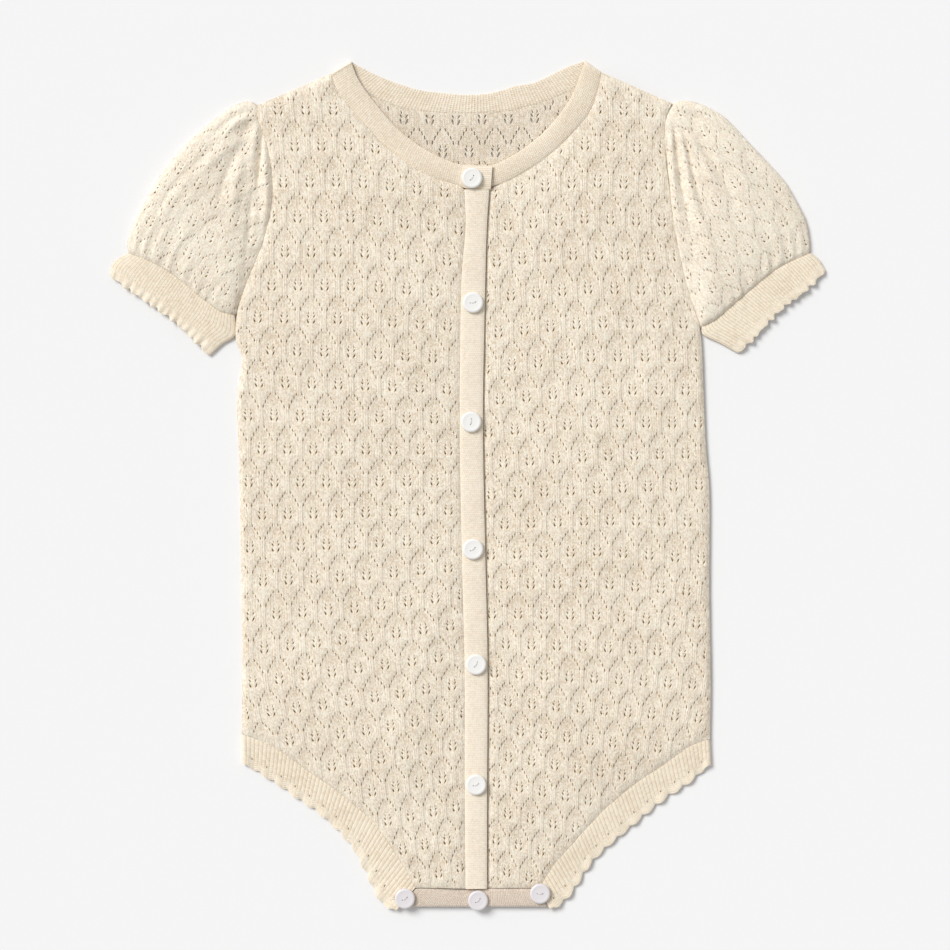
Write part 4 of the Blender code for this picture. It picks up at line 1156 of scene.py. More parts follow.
@dataclass(frozen=True)
class LacePanel:
    """Cuts a panel of leaf lace to an outline, with real eyelets.

    Its cells are a wale wide and two courses high, and detail says in how many parts each
    one's sides are divided, 1 or 2.
    """

    lace: LeafLace
    lay: LaceMap
    outline: Outline
    wale_span: tuple[int, int]
    course_span: tuple[int, int]
    detail: int = 1
    thickness: float = KNIT_THICKNESS
    chamfer: float = 0.12
    clear_width: float = 1.4
    eyelet_share: float = 1.0
    funnel: float = 0.5

    def cloth(self, height: Height, sink: dict[str, float],
              soft: float = 2.2) -> tuple[Cloth, Array]:
        """Builds the surface.

        Args:
            height: The cloth's height in plan, without the lace's relief.
            sink: For each stretch of the outline, how far the cloth sinks to its edge.
            soft: The width over which it sinks.

        Returns:
            The surface, and for each point the stretch of the edge that it is on, or -1.
        """
        wales = np.arange(*self.wale_span)
        courses = 2 * np.arange(self.course_span[0] // 2, self.course_span[1] // 2)
        wale, course = np.meshgrid(wales, courses)
        kept = self.outline.contains(self.lay.plan(wale, course))
        part = self.detail
        corner_w, corner_c = np.meshgrid(
            wales[0] - 0.5 + np.arange(part * len(wales) + 1) / part,
            courses[0] - 1 + np.arange(part * len(courses) + 1) * 2 / part,
        )
        fine = np.kron(kept, np.ones((part, part), dtype=int))
        around = np.zeros(corner_w.shape, dtype=int)
        for dj, di in ((0, 0), (0, 1), (1, 0), (1, 1)):
            around[dj : dj + fine.shape[0], di : di + fine.shape[1]] += fine
        used = around > 0
        edge = used & (around < 4)
        plan = self._plan(corner_w, corner_c)
        distance, label = self._fit(plan, used, edge)
        relief = self.lace.relief(corner_w, corner_c) * ease(distance / self.clear_width)
        depth = np.array([sink.get(name, 0.0) for name in self.outline.names])[label]
        dip = depth * (1 - np.sqrt(np.clip(distance / soft, 0, 1)))
        z = height(plan[..., 0], plan[..., 1]) + relief - dip
        points = np.concatenate([plan, z[..., None]], axis=-1).reshape(-1, 3)
        stitches = np.stack([corner_w, corner_c], axis=-1).reshape(-1, 2)
        number = np.arange(corner_w.size).reshape(corner_w.shape)
        holes = self._holes(wale, course, kept, edge)
        open_cells = np.kron(holes >= 0, np.ones((part, part), dtype=int)) > 0
        plain = (fine > 0) & ~open_cells
        quads = grid_quads(number, plain)
        rings, ring_points, ring_stitches = self._rings(points, stitches, number, holes)
        below = ring_points.reshape(8, -1, 3)
        below = below + self.funnel * (below.mean(axis=0) - below)
        inner = np.vstack([points, below.reshape(-1, 3)]) - self.thickness * UP
        points = np.vstack([points, ring_points])
        stitches = np.vstack([stitches, ring_stitches])
        stretch = np.concatenate([np.where(edge, label, -1).ravel(), np.full(len(ring_points), -1)])
        on_rim = np.arange(len(points)) >= len(points) - len(ring_points)
        return Cloth(points, inner, stitches, [quads] + rings, on_rim), stretch

    def _plan(self, corner_w: Array, corner_c: Array) -> Array:
        """Where the cells' corners lie in plan once they make room for the eyelets."""
        plan = self.lay.plan(corner_w, corner_c)
        ahead_c, ahead_w = (unit(ahead) for ahead in np.gradient(plan, axis=(0, 1)))
        out, drop = self.lace.nudge(corner_w, corner_c)
        return plan + out[..., None] * ahead_w + drop[..., None] * ahead_c

    def _fit(self, plan: Array, used: Array, edge: Array) -> tuple[Array, Array]:
        """Moves the edge's points onto the outline.

        Args:
            plan: All points in plan, changed in place.
            used: Which of them the panel has.
            edge: Which are on its edge.

        Returns:
            Each point's distance to the outline, and the stretch that it is nearest to.
        """
        near, far = self.outline.nearest(plan[used])
        distance = np.full(used.shape, FAR)
        distance[used] = far
        label, index = np.zeros((2, *used.shape), dtype=int)
        label[used] = self.outline.labels[near]
        index[used] = near
        plan[edge] = self.outline.samples[index[edge]]
        distance[edge] = 0.0
        for corner in self.outline.corners:
            gap = np.where(edge, np.linalg.norm(plan - corner, axis=-1), FAR)
            spot = np.unravel_index(np.argmin(gap), gap.shape)
            if gap[spot] < CORNER_REACH:
                plan[spot] = corner
        return distance, label

    def _holes(self, wale: Array, course: Array, kept: Array, edge: Array) -> Array:
        """For each cell, the number of the eyelet in it and its side, or -1."""
        clear = kept.copy()
        part = self.detail
        rows, columns = kept.shape
        for dj in range(part + 1):
            for di in range(part + 1):
                clear &= ~edge[dj : dj + part * rows : part, di : di + part * columns : part]
        holes = np.full(kept.shape, -1)
        for number, eyelet in enumerate(LEAF_EYELETS):
            for side in (-1, 1):
                heart = self.lace.is_heart(wale - side * eyelet.across, course - eyelet.down)
                holes[heart & clear] = 2 * number + (side > 0)
        return holes

    def _rings(self, points: Array, stitches: Array, number: Array, holes: Array) -> tuple:
        """The rims round the eyelets.

        Args:
            points: The lattice's points.
            stitches: Their stitches.
            number: The points' indices, in rows.
            holes: The eyelet in each cell.

        Returns:
            The polygons, the new points and their stitches.
        """
        part = self.detail
        row, column = np.nonzero(holes >= 0)
        turn = ((0, 0), (1, 0), (2, 0), (2, 1), (2, 2), (1, 2), (0, 2), (0, 1))
        stops = turn if part == 2 else turn[::2]
        loop = [
            number[part * row + dj * part // 2, part * column + di * part // 2] for dj, di in stops
        ]
        a, d, c, b = loop[::part]
        kind = holes[row, column]
        table = np.array(LEAF_EYELETS)[kind // 2]
        side = np.where(kind % 2, 1.0, -1.0)
        half_w, half_h, slant, out, drop = table[:, 2:].T
        half_w, half_h = self.eyelet_share * half_w, self.eyelet_share * half_h
        angle = np.radians(slant) * side
        centre = raised(self.lay.plan(stitches[a, 0] + 0.5, stitches[a, 1] + 1), 0.0)
        along_w = points[b] + points[c] - points[a] - points[d]
        along_c = points[c] + points[d] - points[a] - points[b]
        along_w /= np.linalg.norm(along_w[:, :2], axis=1)[:, None]
        along_c /= np.linalg.norm(along_c[:, :2], axis=1)[:, None]
        middle = (points[a] + points[b] + points[c] + points[d]) / 4
        centre[:, 2] = middle[:, 2]
        start, count = len(points), len(a)
        rim, rim_stitch = [], []
        stride = (self.lace.wale_width, self.lace.course_height)
        for x, y in EYELET_SHAPE:
            across = x * half_w * np.cos(angle) - y * half_h * np.sin(angle) + side * out
            down = x * half_w * np.sin(angle) + y * half_h * np.cos(angle) + drop
            place = centre + across[:, None] * along_w + down[:, None] * along_c
            for first, last in ((a, d), (d, c), (c, b), (b, a)):
                edge = unit((points[last] - points[first])[:, :2])
                inward = np.stack([-edge[:, 1], edge[:, 0]], axis=1)
                room = ((place - points[first])[:, :2] * inward).sum(axis=1)
                place[:, :2] += np.clip(EYELET_SPACE - room, 0, 2)[:, None] * inward
            place[:, 2] -= self.chamfer
            rim.append(place)
            rim_stitch.append(stitches[a] + (0.5, 1.0) + np.stack([across, down], axis=1) / stride)
        hole = [start + k * count + np.arange(count) for k in range(8)]
        if part == 2:
            fans = [(loop[k], loop[(k + 1) % 8], hole[(k + 1) % 8], hole[k]) for k in range(8)]
        else:
            fans = []
            for k in range(4):
                fans.append((loop[k], hole[2 * k], hole[2 * k - 1]))
                fans.append((loop[k], hole[2 * k + 1], hole[2 * k]))
                fans.append((loop[k], loop[(k + 1) % 4], hole[2 * k + 1]))
        faces = [np.vstack([np.stack(corners, axis=1) for corners in fans])]
        return faces, np.vstack(rim), np.vstack(rim_stitch)


@dataclass(frozen=True)
class RibStrip:
    """A strip of rib knit over a grid of points, whose first row is its free edge."""

    base: Array
    normal: Array
    phase: Array
    rows: Array
    rise: float = RIB_RISE
    thickness: float = RIB_THICKNESS

    def cloth(self, push: Height, fade: Height | None = None,
              holes: Array | None = None, looped: bool = False) -> Cloth:
        """Builds the surface.

        Args:
            push: Moves the points, from station numbers and shares from free edge to seam.
            fade: How much of the ribs' height is left there.
            holes: Which cells are left open, by row and station.
            looped: Whether the last station meets the first.

        Returns:
            The surface.
        """
        station, share = np.meshgrid(np.arange(self.base.shape[1]), self.rows)
        wave = (0.5 + 0.5 * np.cos(2 * math.pi * self.phase[station])) ** 0.5 - 0.6
        lift = self.rise * (wave if fade is None else wave * fade(station, share))
        middle = self.base + push(station, share)
        half = self.thickness / 2 * (1.0 - 0.45 * (np.abs(2 * share - 1) > 0.999))
        outer, inner = (
            middle + self.normal[station] * level[..., None] for level in (lift + half, lift - half)
        )
        length = np.linalg.norm(self.base[-1] - self.base[0], axis=1)
        stitch = np.stack([0.5 * self.phase[station] + 0.25, share * length[station]], axis=-1)
        number = np.arange(station.size).reshape(station.shape)
        if looped:
            number = np.hstack([number[:, :-1], number[:, :1]])
        holes = np.zeros(number[1:, 1:].shape, dtype=bool) if holes is None else holes
        faces = [grid_quads(number, ~holes)]
        return Cloth(outer.reshape(-1, 3), inner.reshape(-1, 3), stitch.reshape(-1, 2), faces)


def grid_quads(number: Array, keep: Array) -> Array:
    """The quads between the points of a grid, in the cells that are kept."""
    corners = (number[:-1, :-1], number[1:, :-1], number[1:, 1:], number[:-1, 1:])
    return np.stack([corner[keep] for corner in corners], axis=1)


def raised(plan: Array, z: Array | float) -> Array:
    """Points in plan, with their heights."""
    flat = np.asarray(plan, dtype=float)
    height = np.broadcast_to(np.asarray(z, dtype=float), flat.shape[:-1])
    return np.concatenate([flat, height[..., None]], axis=-1)


def ruled(free: Array, seam: Array, rows: Array) -> Array:
    """A grid of points on the straight lines between two edges."""
    return free + np.asarray(rows)[:, None, None] * (seam - free)


def resampled(path: Path, start_cut: float, end_cut: float, t: Array) -> Array:
    """Points along a curve whose two ends are cut short."""
    first, last = start_cut / path.length, 1.0 - end_cut / path.length
    return path.at(first + (last - first) * t)


def turn_rows(start: Array, end: Array, toward: Array, radius: float, down: bool,
              steps: int) -> tuple:
    """Stations round a fold in plan, between a front run and a back run.

    Args:
        start: The two edges' points where the fold starts, in plan.
        end: The two edges' points where it ends.
        toward: Which way the fold bulges.
        radius: The fold's radius.
        down: Whether it goes from the front down to the back.
        steps: The number of parts of the turn.

    Returns:
        The free edge, the seam edge and the normals.
    """
    rows = []
    for step in range(1, steps):
        axis = start + (end - start) * step / steps
        line = axis[0] - axis[1]
        away = unit(np.array([-line[1], line[0]]))
        away = away * np.sign(np.dot(away, toward))
        angle = math.pi * (0.5 - step / steps) * (1 if down else -1)
        reach, level = math.cos(angle), math.sin(angle)
        places = raised(axis + radius * reach * away, TURN_Z + radius * level)
        rows.append((*places, np.array([*(away * reach), level])))
    return tuple(np.array(column) for column in zip(*rows))


class Romper:
    """The curves that its pieces share."""

    def __init__(self) -> None:
        """Works out the curves from the tables."""
        self.neck_right = seam_path(NECK_RIGHT[::-1]).shifted(-SEAM_LOOK)
        self.neck_left = seam_path(NECK_LEFT).shifted(SEAM_LOOK)
        tape_left = Path([Point(row.left - SEAM_LOOK, row.y) for row in PLACKET])
        tape_right = Path([Point(row.right - SEAM_GAP, row.y) for row in PLACKET])
        self.inner = {}
        for side, neck, tape in (
            (Side.RIGHT, self.neck_right, tape_left), (Side.LEFT, self.neck_left, tape_right),
        ):
            beside = neck.at(np.linspace(0, NECK_SHARES[side], NECK_POINTS))
            self.inner[side] = Path(np.vstack([beside, tape.dense]), 1)
        self.outer = {side: self._body_edge(side) for side in Side}

    @staticmethod
    def _body_edge(side: Side) -> Path:
        """A body half's outer edge, from the shoulder tip to the crotch."""
        line = seam_path(LEG_BANDS[side]).shifted(-side.value * SEAM_LOOK)
        seam = line.at(np.linspace(0, 1, LEG_POINTS + 1))
        side_points = [*ARMHOLES[side], *FLANKS[side], Point(*seam[0])]
        return Path(np.vstack([Path(side_points).dense, seam[1:]]), 1)

    @staticmethod
    def armhole(side: Side) -> Path:
        """The curve that the body and the sleeve share."""
        return Path([*ARMHOLES[side], *FLANKS[side]]).first_spans(len(ARMHOLES[side]) - 1)

    def share_across(self, side: Side, x: Array, y: Array) -> Array:
        """How far x lies from the front's inner edge to its outer edge, from 0 to 1."""
        start = self.inner[side].x_at(y)
        end = self.outer[side].x_at(y)
        return np.clip((x - start) / (end - start), 0.0, 1.0)


@dataclass
class Body:
    """The back and the two fronts, in leaf lace.

    Its knits: the cloth's outside, its inside and its eyelets' rims, the last two in painted shade.
    """

    romper: Romper
    knits: Sequence[bpy.types.Material]
    lace: LeafLace = LeafLace()
    back_lace: LeafLace = LeafLace(leaf_rise=-0.35, rib_rise=-0.3, hollow=0.0)
    loft_share: float = 0.55
    sway: float = 0.14
    back_thickness: float = 0.95

    def build(self) -> None:
        """Makes the three panels."""
        for side in Side:
            self._front(side)
        self._back()

    def _loft(self, y: Array) -> Array:
        """How much the cloth is lofted at each height on the garment."""
        loft = self.loft_share * BODY_LOFT
        return loft * ease((200.0 - y) / 60.0) * (0.35 + 0.65 * ease((y + 205.0) / 70.0))

    def _front_height(self, side: Side, x: Array, y: Array) -> Array:
        """The top of a front without its lace."""
        across = self.romper.share_across(side, x, y)
        if side is Side.RIGHT:
            inner = NECK_TOP + (OVER_TOP - NECK_TOP) * ease((185.0 - y) / 30.0)
            lifted = self._loft(y) * np.sin(math.pi * across) ** 0.8
        else:
            inner = NECK_TOP + (FRONT_TOP - NECK_TOP) * ease((195.0 - y) / 15.0)
            lifted = 1.25 * self._loft(y) * ease((across - 0.02) / 0.28)
            lifted = lifted * np.sin(math.pi * across) ** 0.7
            valley = 0.5 * ease((153.0 - y) / 7.0)
            lifted = lifted - valley * np.exp(-(((x - self.romper.inner[side].x_at(y)) / 2.6) ** 2))
        edge = inner + (FRONT_TOP - inner) * ease(across)
        middle = np.sin(math.pi * across) ** 0.5
        sway = self.sway * (np.sin(x / 11.0 + y / 17.0) + np.sin(x / 19.0 - y / 9.0 + 1.3))
        return edge + lifted + middle * (folds_rise(BODY_FOLDS[side], x, y) + sway)

    def _outer_stretches(self, side: Side) -> dict[str, Array]:
        """A body half's outer edge in named stretches, from the leg up to the shoulder."""
        dense = self.romper.outer[side].dense[::-1]
        arm = len(dense) - len(self.romper.armhole(side).dense)
        cuts = {
            "leg": (0, LEG_POINTS), "flank": (LEG_POINTS, arm),
            "armhole": (arm, -1), "shoulder": (-1, None),
        }
        return {name: dense[first:last] for name, (first, last) in cuts.items()}

    def _front(self, side: Side) -> None:
        """Makes one front."""
        inner = self.romper.inner[side].dense
        stretches = {
            "neck": inner[:NECK_POINTS], "placket": inner[NECK_POINTS:-1], "hem": inner[-1:],
        }
        outline = Outline(stretches | self._outer_stretches(side))
        lay = LaceMap(FRONT_WALES[side], FRONT_LACE[side])
        over = side is Side.RIGHT
        clear = 1.4 if over else 2.6
        panel = LacePanel(self.lace, lay, outline, *FRONT_STITCHES, clear_width=clear)
        fold = FRONT_TOP - BACK_TOP - KNIT_THICKNESS
        sink = {
            "neck": 0.55 if over else 0.2, "placket": 0.1 if over else 0.5, "hem": 0.4,
            "leg": 0.3, "flank": fold, "armhole": 0.1, "shoulder": fold,
        }
        cloth, _ = panel.cloth(lambda x, y: self._front_height(side, x, y), sink)
        name = f"front_{side.word}"
        piece = cloth.piece(f"{name}_lace", name, "body_knit", *self.knits)

    def _back(self) -> None:
        """Makes the back, in an upper and a lower mesh that meet along one course."""
        neck = seam_path(NECK_BACK).shifted(-SEAM_LOOK).dense
        left, right = self.romper.outer[Side.LEFT].dense, self.romper.outer[Side.RIGHT].dense[::-1]
        outline = Outline({"neck": neck, "left": left, "right": right})
        panel = LacePanel(
            self.back_lace, LaceMap(BACK_WALES, BACK_LACE), outline, *BACK_STITCHES,
            thickness=self.back_thickness, eyelet_share=1.12, funnel=0.0,
        )
        cloth, _ = panel.cloth(
            lambda x, y: np.full(np.shape(x), BACK_TOP - 0.02), dict.fromkeys(outline.names, 0.35)
        )
        cloth.inner[:, 2] = np.minimum(cloth.outer[:, 2] - 0.4, cloth.inner[:, 2].mean())
        centre = [cloth.outer[f].mean(axis=1)[:, 1] for f in cloth.faces]
        outside, inside, rims = self.knits
        for word, low, high in (("upper", BACK_SPLIT_Y, FAR), ("lower", -FAR, BACK_SPLIT_Y)):
            faces = [f[(y >= low) & (y < high)] for f, y in zip(cloth.faces, centre)]
            part = replace(cloth, faces=faces)
            name = f"back_{word}_lace"
            # The back's top lies under the fronts and takes the inside's painted shade
            piece = part.piece(name, "back_panel", "back_knit", inside, outside, rims)


def plan_area(corners: Array) -> float:
    """The area in plan of polygons, given by their corners."""
    x, y = corners[..., 0], corners[..., 1]
    return 0.5 * np.abs((x * np.roll(y, -1, axis=1) - y * np.roll(x, -1, axis=1)).sum(axis=1)).sum()


class Patch:
    """A surface in plan between four curves, read by u across and v along."""

    def __init__(self, start: Path, end: Path, top: Path, under: Path, hold: float = 1.0) -> None:
        """Keeps the curves.

        Args:
            start: The curve at v 0.
            end: The curve at v 1.
            top: The curve at u 0.
            under: The curve at u 1.
            hold: How fast the shape of the last two fades out across the surface.
        """
        self.start, self.end, self.top, self.under = start, end, top, under
        self.hold = hold

    def plan(self, u: Array, v: Array) -> Array:
        """The place in plan at u, v."""
        u, v = np.broadcast_arrays(np.asarray(u, float), np.asarray(v, float))
        uu, vv = u[..., None], v[..., None]
        across = (1 - vv) * self.start.at(u) + vv * self.end.at(u)
        top = self.top.at(v) - (1 - vv) * self.start.at(0.0) - vv * self.end.at(0.0)
        under = self.under.at(v) - (1 - vv) * self.start.at(1.0) - vv * self.end.at(1.0)
        return across + (1 - uu) ** self.hold * top + uu**self.hold * under

    def locate(self, places: Array) -> tuple[Array, Array]:
        """The u and v of places in plan, by Newton's method from the nearest sample."""
        grid = np.linspace(0.0, 1.0, 61)
        gu, gv = (g.ravel() for g in np.meshgrid(grid, grid))
        tree = KDTree(gu.size)
        for index, (x, y) in enumerate(self.plan(gu, gv)):
            tree.insert((x, y, 0.0), index)
        tree.balance()
        flat = places.reshape(-1, 2)
        first = np.array([tree.find((x, y, 0.0))[1] for x, y in flat])
        u, v = gu[first], gv[first]
        step = 1e-3
        for _ in range(6):
            here = self.plan(u, v)
            du = (self.plan(u + step, v) - self.plan(u - step, v)) / (2 * step)
            dv = (self.plan(u, v + step) - self.plan(u, v - step)) / (2 * step)
            miss = flat - here
            det = du[:, 0] * dv[:, 1] - du[:, 1] * dv[:, 0]
            det = np.where(np.abs(det) < 1e-6, 1e-6, det)
            move_u = (miss[:, 0] * dv[:, 1] - miss[:, 1] * dv[:, 0]) / det
            move_v = (du[:, 0] * miss[:, 1] - du[:, 1] * miss[:, 0]) / det
            u = np.clip(u + np.clip(move_u, -0.1, 0.1), 0.0, 1.0)
            v = np.clip(v + np.clip(move_v, -0.1, 0.1), 0.0, 1.0)
        return u.reshape(places.shape[:-1]), v.reshape(places.shape[:-1])


def edge_round(u: Array) -> Array:
    """Rises from 0 at a folded edge to 1 over the middle of a flattened tube."""
    return np.sqrt(np.clip(1.0 - np.abs(2 * u - 1) ** 5, 0.0, 1.0))


@dataclass
class Sleeve:
    """A gathered puff sleeve in leaf lace, with its ribbed and scalloped cuff."""

    side: Side
    romper: Romper
    knits: Sequence[bpy.types.Material]
    rib: bpy.types.Material
    lace: LeafLace = LeafLace(leaf_rise=0.2, rib_rise=0.14, hollow=0.14)
    puffs: int = 10
    puff_rise: float = 1.15
    pleat_share: float = 1.2
    gather_rise: float = 0.27
    stray: float = 0.5
    fullness: float = 2.1
    stations_per_rib: int = 4

    def build(self) -> None:
        """Makes the sleeve and its cuff."""
        sign = self.side.value
        hem = Path(CUFF_SEAMS[self.side])
        cap = self.romper.armhole(self.side).shifted(sign * SEAM_LOOK)
        under = Path([hem.at(1.0), cap.at(1.0)])
        fold = Path([hem.at(0.0), *SLEEVE_TOPS[self.side], cap.at(0.0)])
        self._sleeve(hem, cap, fold, under)
        rib_seam = hem.shifted(sign * SEAM_LOOK)
        free = CUFF_FREES[self.side]
        outer_fold = Path([rib_seam.at(0.0), CUFF_TOPS[self.side], free[0]])
        inner_fold = Path([rib_seam.at(1.0), *CUFF_UNDERS[self.side], free[-1]])
        self._cuff(Patch(rib_seam, Path(free), outer_fold, inner_fold, 6.0))

    def _sleeve(self, hem: Path, cap: Path, fold: Path, under: Path) -> None:
        """Makes the sleeve: a front and a back of the same lace, joined at its folds."""
        patch = Patch(hem, cap, fold, under)
        edges = {
            "hem": hem.dense, "under": under.dense[1:],
            "cap": cap.dense[::-1], "fold": fold.dense[::-1],
        }
        outline = Outline({name: points[:-1] for name, points in edges.items()})
        lay = LaceMap(SLEEVE_WALES, SLEEVE_LACE[self.side], self.stray)
        panel = LacePanel(self.lace, lay, outline, *SLEEVE_STITCHES, detail=2, eyelet_share=0.75)
        sink = {"hem": 0.5, "cap": 0.45}
        top, stretch = panel.cloth(lambda x, y: self._height(patch, x, y), sink, soft=1.8)
        folded = np.isin(stretch, [outline.names.index(name) for name in ("under", "fold")])
        low = replace(top, outer=top.outer.copy())
        relief = self.lace.relief(low.stitch[:, 0], low.stitch[:, 1])
        low.outer[:, 2] = 0.05 + 0.3 * (0.5 - relief).clip(0, 0.5)
        low.inner = low.outer + KNIT_THICKNESS * UP
        low.outer[folded] = top.outer[folded]
        inward = unit(outline.samples.mean(axis=0) - top.outer[folded][:, :2])
        top.inner[folded] = top.outer[folded] + raised(inward * KNIT_THICKNESS, 0.0)
        same = {int(k): int(k) for k in np.flatnonzero(folded)}
        name = f"sleeve_{self.side.word}"
        cloth = top.joined(low.flipped(), same)
        piece = cloth.piece(f"{name}_lace", name, "sleeve_knit", *self.knits)

    def _height(self, patch: Patch, x: Array, y: Array) -> Array:
        """The top of the sleeve without its lace: its loft, its gathers and its pleats."""
        u, v = patch.locate(np.stack([x, y], axis=-1))
        loft = SLEEVE_LOFT * np.sin(math.pi * v) ** (0.6 + 0.8 * ease(2 * v - 1))
        level = FOLD_EDGE_Z + (SLEEVE_EDGE_TOP + loft - FOLD_EDGE_Z) * edge_round(u)
        turn = 2 * math.pi * self.puffs * (u + 0.05 * np.sin(7 * u)) + 2.0 * np.sin(4 * v)
        puff = (0.5 + 0.5 * np.cos(turn)) ** 1.4 - 0.35
        puff = self.puff_rise * puff * (0.7 + 0.3 * np.sin(23 * u)) * np.exp(-v / 0.16)
        soft = sum(
            rise * np.sin(2 * math.pi * turns)
            for rise, turns in (
                (0.6, 8.5 * u + 0.35 * np.sin(5 * v)), (0.45, 14 * u - 0.5 * v + 0.3),
                (0.3, 23 * u + 0.4 * v),
            )
        )
        ends = 0.45 + 0.4 * ease((0.35 - v) / 0.3) + 0.6 * ease((v - 0.6) / 0.4)
        pleats = self.pleat_share * pleats_rise(PLEATS[self.side], x, y)
        rise = pleats + puff + self.gather_rise * soft * ends
        return level + rise * ease(v / 0.04) * edge_round(u)

    def _cuff(self, patch: Patch) -> None:
        """Makes the cuff: ribs all round, with a scalloped edge."""
        ribs = CUFF_SCALLOPS * RIBS_PER_SCALLOP
        count = ribs * self.stations_per_rib
        front_u = np.linspace(0.0, 1.0, count + 1)
        back_u = front_u[-2:0:-1]
        u = np.concatenate([front_u, back_u, front_u[:1]])
        upper = np.concatenate([np.ones(count + 1), np.zeros(count - 1), [1.0]])
        rows = scallop_rows(9)
        grid_u, share = np.meshgrid(u, rows)
        half = RIB_THICKNESS / 2
        round_u = edge_round(u)
        level = CUFF_EDGE_TOP + (CUFF_TOP - CUFF_EDGE_TOP) * share
        top = FOLD_EDGE_Z + (level - half - FOLD_EDGE_Z) * round_u
        low = FOLD_EDGE_Z + (half + 0.12 - FOLD_EDGE_Z) * round_u
        base = raised(patch.plan(grid_u, 1.0 - share), np.where(upper > 0, top, low))
        slope = (1 - round_u) ** 0.7
        outward = patch.plan(u, 0.5) - patch.plan(0.5, 0.5)
        outward /= np.maximum(np.linalg.norm(outward, axis=1), 1e-9)[:, None]
        turned = np.where(upper > 0, 1.0, -1.0) * (1.02 - slope)
        normal = unit(raised(outward * slope[:, None], turned))
        away = unit(raised(patch.end.at(0.5) - patch.start.at(0.5), 0.0))

        def push(station: Array, share: Array) -> Array:
            """Draws the edge into scallops, with a light frill, and tucks in the back's."""
            s, above = u[station], upper[station] > 0
            wave = np.abs(np.sin(math.pi * CUFF_SCALLOPS * (s + 0.006 * np.sin(31 * s))))
            near = ease(s / 0.05) * ease((1 - s) / 0.05) * ease((0.4 - share) / 0.4)
            frill = 0.25 * np.sin(97 * s) + 0.2 * np.sin(53 * s + 1)
            tuck = np.where(above, 0.0, SCALLOP_TUCK)
            reach = (0.75 * SCALLOP_DEPTH * (wave - 0.6) + frill - tuck) * near
            lift = (0.2 * SCALLOP_LIFT * wave + frill) * near * np.where(above, 1.0, 0.3)
            return reach[..., None] * away + lift[..., None] * UP

        def fade(station: Array, share: Array) -> Array:
            """Flattens the ribs at the scallops and under the arm."""
            return 0.1 + 0.28 * ease((share - 0.26) / 0.1) * ease((1 - u[station]) / 0.1)

        name = f"cuff_{self.side.word}"
        cloth = RibStrip(base, normal, u * ribs, rows).cloth(push, fade, looped=True)
        piece = cloth.piece(f"{name}_rib", name, "rib_knit", self.rib)
        depth = float(np.linalg.norm(patch.end.at(0.5) - patch.start.at(0.5)))


def scallop_rows(count: int) -> Array:
    """Rows from a scalloped edge to the seam: close ones at the edge, then so many more."""
    return np.concatenate([[0.0, 0.05, 0.1, 0.16, 0.22, 0.28, 0.34], np.linspace(0.42, 1.0, count)])


@dataclass
class LegBand:
    """A ribbed, scalloped band round a leg opening."""

    side: Side
    material: bpy.types.Material
    stations_per_rib: int = 4
    turn_steps: int = 6
    fall: float = 1.1
    eyelet_row: int = 5

    def build(self) -> None:
        """Makes the band: along the front, round the side and back."""
        bands = LEG_BANDS[self.side][::-1]
        radius = FRONT_TOP / 2
        ribs = LEG_SCALLOPS * RIBS_PER_SCALLOP
        count, turns = ribs * self.stations_per_rib, self.turn_steps - 1
        t = np.linspace(0.0, 1.0, count + 1)
        lines = free_path(bands), seam_path(bands)
        free, seam = runs = np.array([resampled(line, 0.0, radius, t) for line in lines])
        outward = unit(free - seam)
        half = RIB_THICKNESS / 2
        toward = np.array([self.side.value, 0.0])
        ends = runs[:, -1]
        turned = turn_rows(ends, ends, toward, radius - half, True, self.turn_steps)
        all_free, all_seam = (
            np.vstack([raised(run, FRONT_TOP - half), turn, raised(run[::-1], half)])
            for run, turn in zip(runs, turned)
        )
        up = np.tile(UP, (count + 1, 1))
        normal = np.vstack([up, turned[2], -up])
        along = np.concatenate([t, np.ones(turns), t[::-1]])
        phase = np.concatenate([t * ribs, np.full(turns, float(ribs)), (2 - t[::-1]) * ribs])
        out = np.vstack([outward, np.tile(outward[-1], (turns, 1)), outward[::-1]])
        upper = np.concatenate([np.ones(count + 1), np.full(turns, 0.5), np.zeros(count + 1)])
        rows = scallop_rows(8)

        def push(station: Array, share: Array) -> Array:
            """Draws the edge into scallops, lets the front's down and tucks in the back's."""
            s, above = along[station], upper[station]
            last = ease((1 - s) / 0.04)
            ends = ease(s / 0.04) * last
            wave = np.abs(np.sin(math.pi * LEG_SCALLOPS * s)) * ends
            near = ease((0.4 - share) / 0.4)
            tuck = np.where(above > 0, 0.0, SCALLOP_TUCK)
            reach = (SCALLOP_DEPTH * (wave - 0.65) - tuck) * near * ends
            frill = 0.25 * np.sin(71 * s) + 0.2 * np.sin(43 * s + 2)
            fall = self.fall * (1 - share) * ease(s / 0.15)
            lift = ((0.5 * SCALLOP_LIFT * wave + frill) * near - fall) * (above > 0.5) * last
            return raised(reach[..., None] * out[station], lift)

        def fade(station: Array, share: Array) -> Array:
            """Flattens the ribs at the scallops and round the side."""
            flat = np.where(upper[station] == 0.5, 0.2, 1.0)
            return flat * (0.1 + 0.32 * ease((share - 0.26) / 0.1))

        per = self.stations_per_rib * RIBS_PER_SCALLOP
        cell, row = np.meshgrid(np.arange(len(all_free) - 1), np.arange(len(rows) - 1))
        front, back = cell < count, cell > count + turns
        place = np.where(front, cell, cell - count - turns - 1) % per
        holes = (row == self.eyelet_row) & (place == per // 2) & (front | back)
        strip = RibStrip(ruled(all_free, all_seam, rows), normal, phase, rows)
        name = f"leg_band_{self.side.word}"
        piece = strip.cloth(push, fade, holes).piece(f"{name}_rib", name, "rib_knit", self.material)


